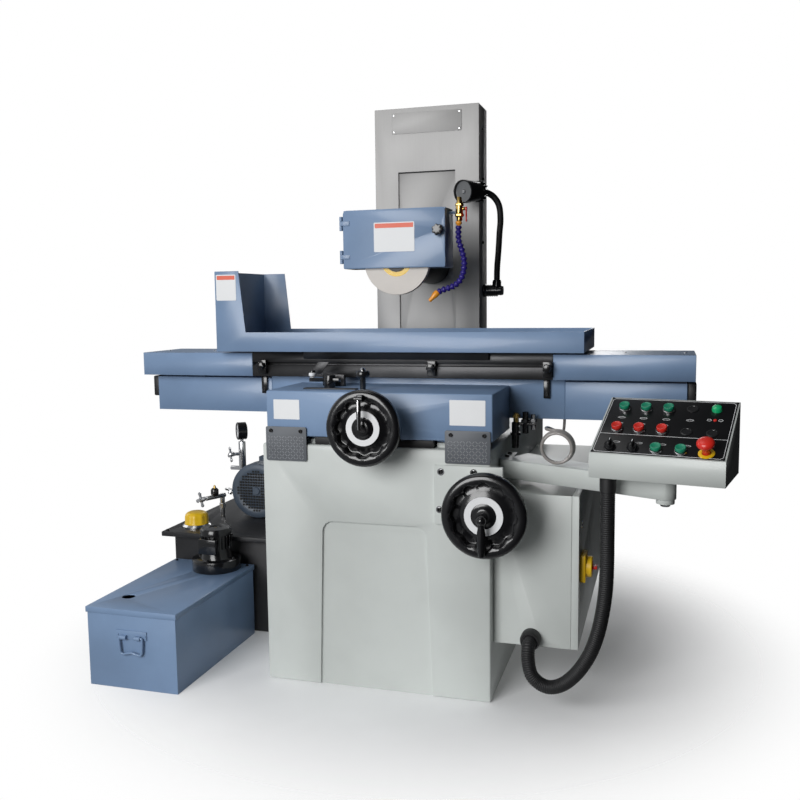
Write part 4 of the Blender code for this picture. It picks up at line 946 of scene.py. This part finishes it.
# ---------------------------------------------------------------- cabinet, base and arm
def make_cabinet_trim():
    switch = Shape("main_switch_plate")
    switch.box(at(0.5412, 0.062, 0.326), at(0.556, 0.128, 0.398), YELLOW, 0.003)
    place = aim(at(0.556, 0.095, 0.362), RIGHT)
    switch.lathe([(0.0175, 0.0), (0.028, 0.0), (0.028, 0.0125), (0.0262, 0.0148),
                  (0.019, 0.015), (0.0175, 0.014)], YELLOW, place, 56, closed=True)
    for angle in (0, 90):
        mark = turned(place, angle)
        switch.box((0.0205, -0.0012, 0.0148), (0.0255, 0.0012, 0.0153), SHADE_AND_MARKS, 0.0, mark)
    switch.done("cabinet_door", "yellow_plastic")

    handle = Shape("main_switch_handle")
    handle.lathe([(0, -0.03), (0.005, -0.03), (0.005, 0.002), (0.0165, 0.002),
                  (0.0165, 0.013), (0.015, 0.016), (0, 0.016)], RED, place, 44)
    handle.box((-0.012, -0.0042, 0.015), (0.012, 0.0042, 0.027), RED, 0.0015, place)
    handle.done("main_switch", "red_plastic", ("main_switch_knob",))

    lock = Shape("door_lock")
    lock.lathe([(0, 0), (0.011, 0), (0.0105, 0.003), (0.007, 0.0036), (0, 0.0036)],
               STEEL, aim(at(0.5408, 0.11, 0.47), RIGHT), 40)
    # The near-black slot is painted shade standing for the keyhole.
    lock.box(at(0.544, 0.1082, 0.463), at(0.5446, 0.1118, 0.477), SHADE_AND_MARKS, 0.0)
    lock.done("cabinet_door", "bright_steel")

    hinges = Shape("cabinet_hinges")
    for z in (0.205, 0.49):
        hinges.rod(at(0.5148, 0.8555, z), at(0.5148, 0.8555, z + 0.045), 0.0045, STEEL)
    hinges.done("root", "bright_steel")

    gland = Shape("conduit_fittings")
    gland.lathe([(0.0243, 0.0), (0.0262, 0.0), (0.0262, 0.024), (0.0225, 0.0325),
                 (0.0186, 0.0325), (0.0186, 0.025), (0.0243, 0.025)], RUBBER,
                aim(at(0.42, 0.0345, 0.177), OPERATOR), 48, closed=True)
    gland.done("root", "black_rubber")
    upper = Shape("conduit_panel_fitting")
    upper.lathe([(0.0184, 0.0), (0.0192, 0.0), (0.0196, 0.008), (0.0196, 0.036), (0.0184, 0.036)],
                RUBBER, aim(at(0.618, -0.078, 0.6015), UP), 40, closed=True)
    upper.done("control_panel", "black_rubber")


def make_base_trim():
    # A black band along the base's top under the saddle's front: painted shade in the gap between
    # base and saddle.
    gap_shade_band = Shape("painted_gap_shade_band")
    gap_shade_band.box(at(-0.3, 0.008, 0.6746), at(-0.234, 0.026, 0.695), RUBBER, 0.001)
    gap_shade_band.box(at(-0.166, 0.008, 0.6746), at(0.166, 0.026, 0.695), RUBBER, 0.001)
    gap_shade_band.box(at(0.234, 0.008, 0.6746), at(0.317, 0.026, 0.695), RUBBER, 0.001)
    gap_shade_band.done("root", "black_rubber")

    bolts = Shape("feed_plate_bolts")
    for x, z in ((0.19, 0.617), (0.277, 0.618), (0.186, 0.517), (0.338, 0.498)):
        bolts.lathe([(0.0064, 0), (0.01, 0), (0.0096, 0.0012), (0.0064, 0.0012)],
                    STEEL, aim(at(x, -0.01, z), OPERATOR), 28, closed=True)
        bolts.screw(at(x, -0.01, z), OPERATOR, 0.0062)
    bolts.done("root", "black_plastic")

    arm = Shape("arm_top_plate_and_bolts")
    arm.screw(at(0.336, 0.15, 0.635), UP, 0.006)
    arm.screw(at(0.336, 0.195, 0.635), UP, 0.006)
    boss = at(0.75, -0.062, 0.577)
    arm.lathe([(0, 0), (0.012, 0.0), (0.012, -0.006), (0.01, -0.009), (0, -0.009)],
              STEEL, Matrix.Translation(boss), 6)
    arm.lathe([(0.0135, 0.0), (0.0212, 0.0), (0.0212, -0.0015), (0.0135, -0.0015)], CREAM,
              Matrix.Translation(boss), 40, closed=True)
    arm.done("root", "cream_paint")


# ---------------------------------------------------------------- saddle
def make_flap(name, x, z):
    """Rubber way flap with a raised bar pattern, screwed below the apron's front."""
    rear = -0.0022
    thick = 0.0032
    flap = Shape(name)
    outline = rectangle(x, z, 0.005)
    flap.prism(outline, thick, GREY_RUBBER, upright(0, rear, 0), 0.0006)
    pitch = 0.0082
    bar = 0.0074
    for i in range(int((x[1] - x[0] - 0.012) / pitch)):
        for j in range(int((z[1] - z[0] - 0.026) / pitch)):
            cx = x[0] + 0.01 + i * pitch
            cz = z[0] + 0.008 + j * pitch
            turn = math.radians(45 if (i + j) % 2 else -45)
            place = standing(cx, rear - thick, cz) @ Matrix.Rotation(turn, 4, "Y")
            # The bars are a lighter copy of the flap rubber, a painted highlight on the raised
            # pattern.
            flap.box((-bar / 2, -0.001, -0.0009), (bar / 2, 0.0002, 0.0009), TREAD_HIGHLIGHT, 0.0, place)
    return flap


def make_saddle_trim():
    for name, x, z in (("way_flap_left", (-0.305, -0.186), (0.628, 0.722)),
                       ("way_flap_right", (0.2, 0.32), (0.6385, 0.725))):
        piece = make_flap(name, x, z).done(None)
        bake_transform(piece)
        screws = Shape(name + "_screws")
        for cx in (x[0] + 0.016, x[1] - 0.016):
            screws.screw(at(cx, -0.0054, z[1] - 0.011), OPERATOR, 0.0052)
        screws.done("saddle", "black_plastic")

    strips = Shape("table_stop_strips")
    for x in (-0.422, 0.43):
        strips.box(at(x - 0.009, 0.241, 0.786), at(x + 0.009, 0.2496, 0.838), BLACK, 0.0015)
        strips.screw(at(x, 0.241, 0.797), OPERATOR, 0.005)
    strips.done("saddle", "black_plastic")

    blocks = Shape("saddle_end_bumpers")
    blocks.box(at(-0.8135, 0.258, 0.77), at(-0.7915, 0.402, 0.833), RUBBER, 0.004)
    blocks.box(at(0.8005, 0.258, 0.77), at(0.8235, 0.402, 0.833), RUBBER, 0.004)
    blocks.done("saddle", "black_rubber")

    gear = Shape("reversing_bracket")
    slant = [(-0.03, 0.0), (0.004, 0.0), (0.03, 0.034), (-0.004, 0.034)]
    gear.prism(slant, 0.003, IRON, upright(-0.204, 0.15, 0.8545), 0.0008)
    gear.box(at(-0.196, 0.1502, 0.8204), at(-0.13, 0.164, 0.8535), IRON, 0.002)
    gear.screw(at(-0.17, 0.1502, 0.846), OPERATOR, 0.004)
    gear.box(at(-0.215, 0.05, 0.8202), at(-0.062, 0.076, 0.8232), IRON, 0.001)
    gear.done("saddle", "cast_iron")

    plates = Shape("apron_blank_plates")
    plates.prism(rectangle((-0.282, -0.206), (0.742, 0.796), 0.002), 0.0006, WHITE,
                 upright(0, -0.0001, 0))
    plates.prism(rectangle((0.212, 0.306), (0.738, 0.804), 0.002), 0.0006, WHITE,
                 upright(0, -0.0001, 0))
    plates.done("saddle")

    dial = Shape("cross_feed_dial")
    cx, _, cz = CROSS_WHEEL
    place = aim(at(cx, -0.0365, cz), OPERATOR)
    dial.lathe([(0.0118, 0.0), (0.031, 0.0), (0.031, 0.004), (0.026, 0.02),
                (0.025, 0.024), (0.0118, 0.024)], STEEL,
               place, 72, closed=True)
    for k in range(36):
        mark = turned(place, 10 * k)
        dial.box((0.0288, -0.0003, 0.004), (0.0296, 0.0003, 0.01), SHADE_AND_MARKS, 0.0, mark)
    dial.done("saddle", "bright_steel")

    fittings = Shape("oil_line_fittings")
    for x, y, low, high, r, metal in (
            (0.348, 0.212, 0.65, 0.722, 0.01, "black_plastic"),
            (0.35, 0.212, 0.722, 0.748, 0.0075, "brass"),
            (0.374, 0.224, 0.69, 0.75, 0.0085, "black_plastic"),
            (0.396, 0.226, 0.7, 0.744, 0.007, "bright_steel")):
        fittings.rod(at(x, y, low), at(x, y, high), r, PAINTS[metal])
        fittings.lathe([(0.002, 0), (r * 1.45, 0), (r * 1.45, 0.008), (0.002, 0.008)],
                       PAINTS[metal], standing(x, y, (low + high) / 2), 6,
                       closed=True)
    fittings.rod(at(0.346, 0.222, 0.716), at(0.404, 0.224, 0.716), 0.005, BLACK)
    fittings.done("saddle", "black_plastic")


def make_dog_knobs():
    for name, x in (("trip_dog_left", -0.408), ("trip_dog_centre", 0.112),
                    ("trip_dog_right", 0.437)):
        make_star_knob(name + "_star", name, at(x, 0.193, 0.873), OPERATOR, 0.0125, 0.012)
    lever = Shape("reversing_lever_ball")
    lever.lathe([(0, -0.01), (0.006, -0.0085), (0.0098, -0.0025), (0.0098, 0.0025),
                 (0.006, 0.0085), (0, 0.01)], WHITE,
                standing(-0.212, 0.112, 0.856), 40)
    lever.done("reversing_lever")
    cap = Shape("speed_knob_cap")
    cap.lathe([(0, 0.8722), (0.0065, 0.8722), (0.0072, 0.8762), (0.0045, 0.8806), (0, 0.8814)],
              STEEL, standing(-0.04, 0.05, 0), 32)
    cap.done("speed_knob", "bright_steel")


# ---------------------------------------------------------------- coolant and hydraulics
def make_tank_trim():
    """Drop handle with its hinge plate, and the fan, ribs and box of the pump motor."""
    front = -0.178
    middle, top, half, drop = -0.647, 0.15, 0.034, 0.042
    wire = [(middle - half + 0.01, top), (middle - half, top), (middle - half - 0.002, top - 0.006),
            (middle - half - 0.001, top - 0.024), (middle - half + 0.001, top - drop),
            (middle - half + 0.008, top - drop - 0.0055), (middle - 0.014, top - drop - 0.0035),
            (middle, top - drop - 0.0005), (middle + 0.014, top - drop - 0.0035),
            (middle + half - 0.008, top - drop - 0.0055), (middle + half - 0.001, top - drop),
            (middle + half + 0.001, top - 0.024), (middle + half + 0.002, top - 0.006),
            (middle + half, top), (middle + half - 0.01, top)]
    handle = Shape("tank_drop_handle")
    handle.sweep(smooth([at(x, front, z) for x, z in wire], 5), 0.0035, BLUE, 14)
    handle.done("tank_handle", "blue_paint", ("tank_handle",))

    plate = Shape("tank_handle_plate")
    plate.box(at(-0.696, -0.1732, 0.144), at(-0.6, -0.1703, 0.168), BLUE, 0.0008)
    for side in (-1, 1):
        x = middle + side * 0.022
        plate.rod(at(x - 0.009, front, top), at(x + 0.009, front, top), 0.0062, BLUE)
        plate.lathe([(0, 0), (0.0036, 0), (0.0026, 0.0016), (0, 0.002)], BLUE,
                    aim(at(middle + side * 0.042, -0.1732, 0.156), OPERATOR), 20)
    plate.done("root", "blue_paint")

    pump = Shape("pump_motor_trim")
    px, py = -0.606, 0.246
    base = standing(px, py, 0)
    for k in range(20):
        spin = spoke(base, k, 20)
        pump.box((0.0405, -0.0014, 0.294), (0.048, 0.0014, 0.336), BLACK, 0.0006, spin)
    pump.lathe([(0.0425, 0.337), (0.048, 0.337), (0.048, 0.352), (0.044, 0.3575),
                (0.02, 0.3585), (0.02, 0.3575), (0.0425, 0.356)], BLACK, base, 60,
               closed=True)
    pump.box(at(px - 0.03, py - 0.062, 0.285), at(px + 0.03, py - 0.042, 0.332), BLACK, 0.003)
    for dx, dy in ((-0.058, 0), (0.058, 0), (0, -0.058), (0, 0.058)):
        pump.screw(at(px + dx, py + dy, 0.262), UP, 0.005)
    pump.done("root", "black_plastic")

    rivets = Shape("tank_lid_bolts")
    for x, y in ((-0.775, 0.29), (-0.523, 0.29)):
        rivets.screw(at(x, y, 0.226), UP, 0.0045)
    rivets.done("root", "black_plastic")


def make_cross_knob(shape, point, direction, size):
    """A cast valve handle with four rounded arms."""
    place = aim(point, direction)
    for turn in (0, 90):
        spin = turned(place, turn + 20)
        shape.box((-size, -size * 0.22, -0.003), (size, size * 0.22, 0.003), STEEL, 0.0022, spin)
        for side in (-1, 1):
            ball = spin @ Matrix.Translation((side * size * 0.92, 0, 0))
            shape.lathe([(0, -0.0045), (size * 0.24, -0.0032), (size * 0.3, 0),
                         (size * 0.24, 0.0032), (0, 0.0045)], STEEL, ball, 20)
    shape.lathe([(0, -0.012), (size * 0.36, -0.012), (size * 0.4, 0.003), (size * 0.28, 0.007),
                 (0, 0.008)], STEEL, place, 28)


def make_hydraulic_trim():
    """Fan cowl and fins of the oil pump motor, the valves, the gauge and the filler cap."""
    mx, mz = -0.604, 0.412
    cowl = Shape("oil_motor_cowl")
    place = aim(at(mx, 0.54, mz), AWAY)
    cowl.lathe([(0, 0.0005), (0.06, 0.0003), (0.066, -0.0008), (0.072, -0.003),
                (0.086, -0.003), (0.094, 0.002), (0.096, 0.01), (0.096, 0.062),
                (0.093, 0.0625), (0, 0.0625)], MOTOR, place, 120)
    cells = 14
    pitch = 0.0098
    cowl.lathe([(0, -0.004), (0.011, -0.004), (0.014, 0.0006), (0, 0.0006)], MOTOR, place, 40)
    # Near-black squares standing just proud of the cowl's face are painted shade for its vent
    # holes.
    for i in range(-cells // 2, cells // 2 + 1):
        for j in range(-cells // 2, cells // 2 + 1):
            if 0.017 < math.hypot(i, j) * pitch < 0.07:
                spot = place @ Matrix.Translation((i * pitch, j * pitch, 0))
                cowl.box((-0.0033, -0.0033, -0.0032), (0.0033, 0.0033, 0.0008), SHADE_AND_MARKS, 0.0, spot)
    for k in range(40):
        spin = spoke(place, k, 40)
        cowl.box((0.079, -0.0014, 0.064), (0.0885, 0.0014, 0.25), MOTOR, 0.0006, spin)
    cowl.lathe([(0.08, 0.25), (0.089, 0.25), (0.089, 0.262), (0.08, 0.262)], MOTOR, place,
               80, closed=True)
    cowl.done("root", "motor_paint")

    valves = Shape("oil_valves")
    valves.rod(at(-0.734, 0.536, 0.3165), at(-0.734, 0.536, 0.398), 0.0085, STEEL)
    valves.rod(at(-0.762, 0.47, 0.392), at(-0.728, 0.545, 0.392), 0.0075, STEEL)
    valves.lathe([(0, 0), (0.012, 0), (0.012, 0.014), (0, 0.014)], STEEL,
                 standing(-0.734, 0.536, 0.35), 6)
    make_cross_knob(valves, at(-0.77, 0.452, 0.392), (-0.4, -0.9, 0.0), 0.022)
    make_cross_knob(valves, at(-0.712, 0.56, 0.404), (0.4, 0.2, 0.9), 0.02)
    valves.lathe([(0, 0), (0.011, 0), (0.0135, 0.006), (0.0135, 0.02), (0.009, 0.026),
                  (0, 0.027)], BLACK, standing(-0.746, 0.505, 0.397), 32)
    valves.lathe([(0, 0.026), (0.005, 0.026), (0.0036, 0.035), (0, 0.037)], BRASS,
                 standing(-0.746, 0.505, 0.397), 20)
    make_cross_knob(valves, at(-0.8, 0.735, 0.5), (-0.7, -0.7, 0.0), 0.024)
    valves.rod(at(-0.795, 0.74, 0.5), at(-0.768, 0.758, 0.5), 0.006, STEEL)
    valves.done("root", "bright_steel")

    gauge = Shape("pressure_gauge_face")
    way = Vector((-0.8, -0.6, 0.0))
    place = aim(at(-0.751, 0.77, 0.586) + way * 0.03, way)
    gauge.lathe([(0.0262, -0.002), (0.0325, -0.002), (0.0325, 0.0022), (0.03, 0.0044),
                 (0.027, 0.004), (0.0262, 0.002)], BLACK, place, 64, closed=True)
    gauge.lathe([(0.029, -0.03), (0.0322, -0.028), (0.0322, -0.0015), (0.029, -0.0015)],
                BLACK, place, 64, closed=True)
    gauge.lathe([(0, 0.0002), (0.0262, 0.0002), (0.0262, 0.0012), (0, 0.0012)], WHITE, place, 56)
    for k in range(11):
        tick = turned(place, 225 - 27 * k)
        gauge.box((0.02, -0.0004, 0.0012), (0.0245, 0.0004, 0.0016), SHADE_AND_MARKS, 0.0, tick)
    hand = turned(place, 150)
    gauge.box((-0.006, -0.0007, 0.0018), (0.02, 0.0007, 0.0024), SHADE_AND_MARKS, 0.0, hand)
    gauge.done("root", "black_plastic")

    fx, fy = -0.757, 0.395
    cap = Shape("filler_cap_ribbed")
    place = standing(fx, fy, 0)

    def wave(angle, r, h):
        grip = 1.0 if 0.33 < h < 0.362 and r > 0.03 else 0.0
        return r - 0.0016 * grip * (1 - math.cos(10 * angle)) / 2, h

    cap.lathe([(0, 0.3655), (0.024, 0.3655), (0.031, 0.3625), (0.0365, 0.358), (0.0385, 0.35),
               (0.039, 0.332), (0.04, 0.329), (0.04, 0.3262), (0, 0.3262)][::-1],
              YELLOW, place, 120, wave)
    cap.lathe([(0, 0.285), (0.026, 0.285), (0.026, 0.3166), (0.047, 0.3166),
               (0.047, 0.32), (0.041, 0.326), (0, 0.326)], STEEL, place, 64)
    cap.done("filler_cap", "yellow_plastic", ("filler_cap",))

    bolts = Shape("oil_cover_bolts")
    for x in (-0.82, -0.59, -0.36):
        for y in (0.315, 0.855):
            bolts.screw(at(x, y, 0.316), UP, 0.0055)
    bolts.done("root", "black_plastic")


# ---------------------------------------------------------------- table
def make_table_trim():
    screws = Shape("way_cover_screws")
    for x in (-0.79, -0.63, -0.47, 0.475, 0.635, 0.795):
        screws.lathe([(0, 0), (0.0038, 0), (0.003, 0.0014), (0, 0.0018)], STEEL,
                     aim(at(x, 0.325, 0.909), UP), 20)
    screws.done("table", "bright_steel")
    label = Shape("spray_guard_blank_label")
    label.prism(rectangle((-0.54, -0.476), (1.066, 1.142), 0.003), 0.0006, WHITE,
                upright(0, 0.1799, 0))
    label.prism(rectangle((-0.537, -0.479), (1.127, 1.139), 0.001), 0.0009, LABEL_RED,
                upright(0, 0.1799, 0))
    label.done("table")


make_camera()
make_stage()
make_conduit()
make_drain_hose()
dress_nodes()
make_handwheels()
make_wheel()
make_guard_trim()
make_coolant_hose()
make_column_trim()
make_way_bellows()
make_lamp()
make_panel_face()
make_buttons()
make_cabinet_trim()
make_base_trim()
make_saddle_trim()
make_dog_knobs()
make_tank_trim()
make_hydraulic_trim()
make_table_trim()
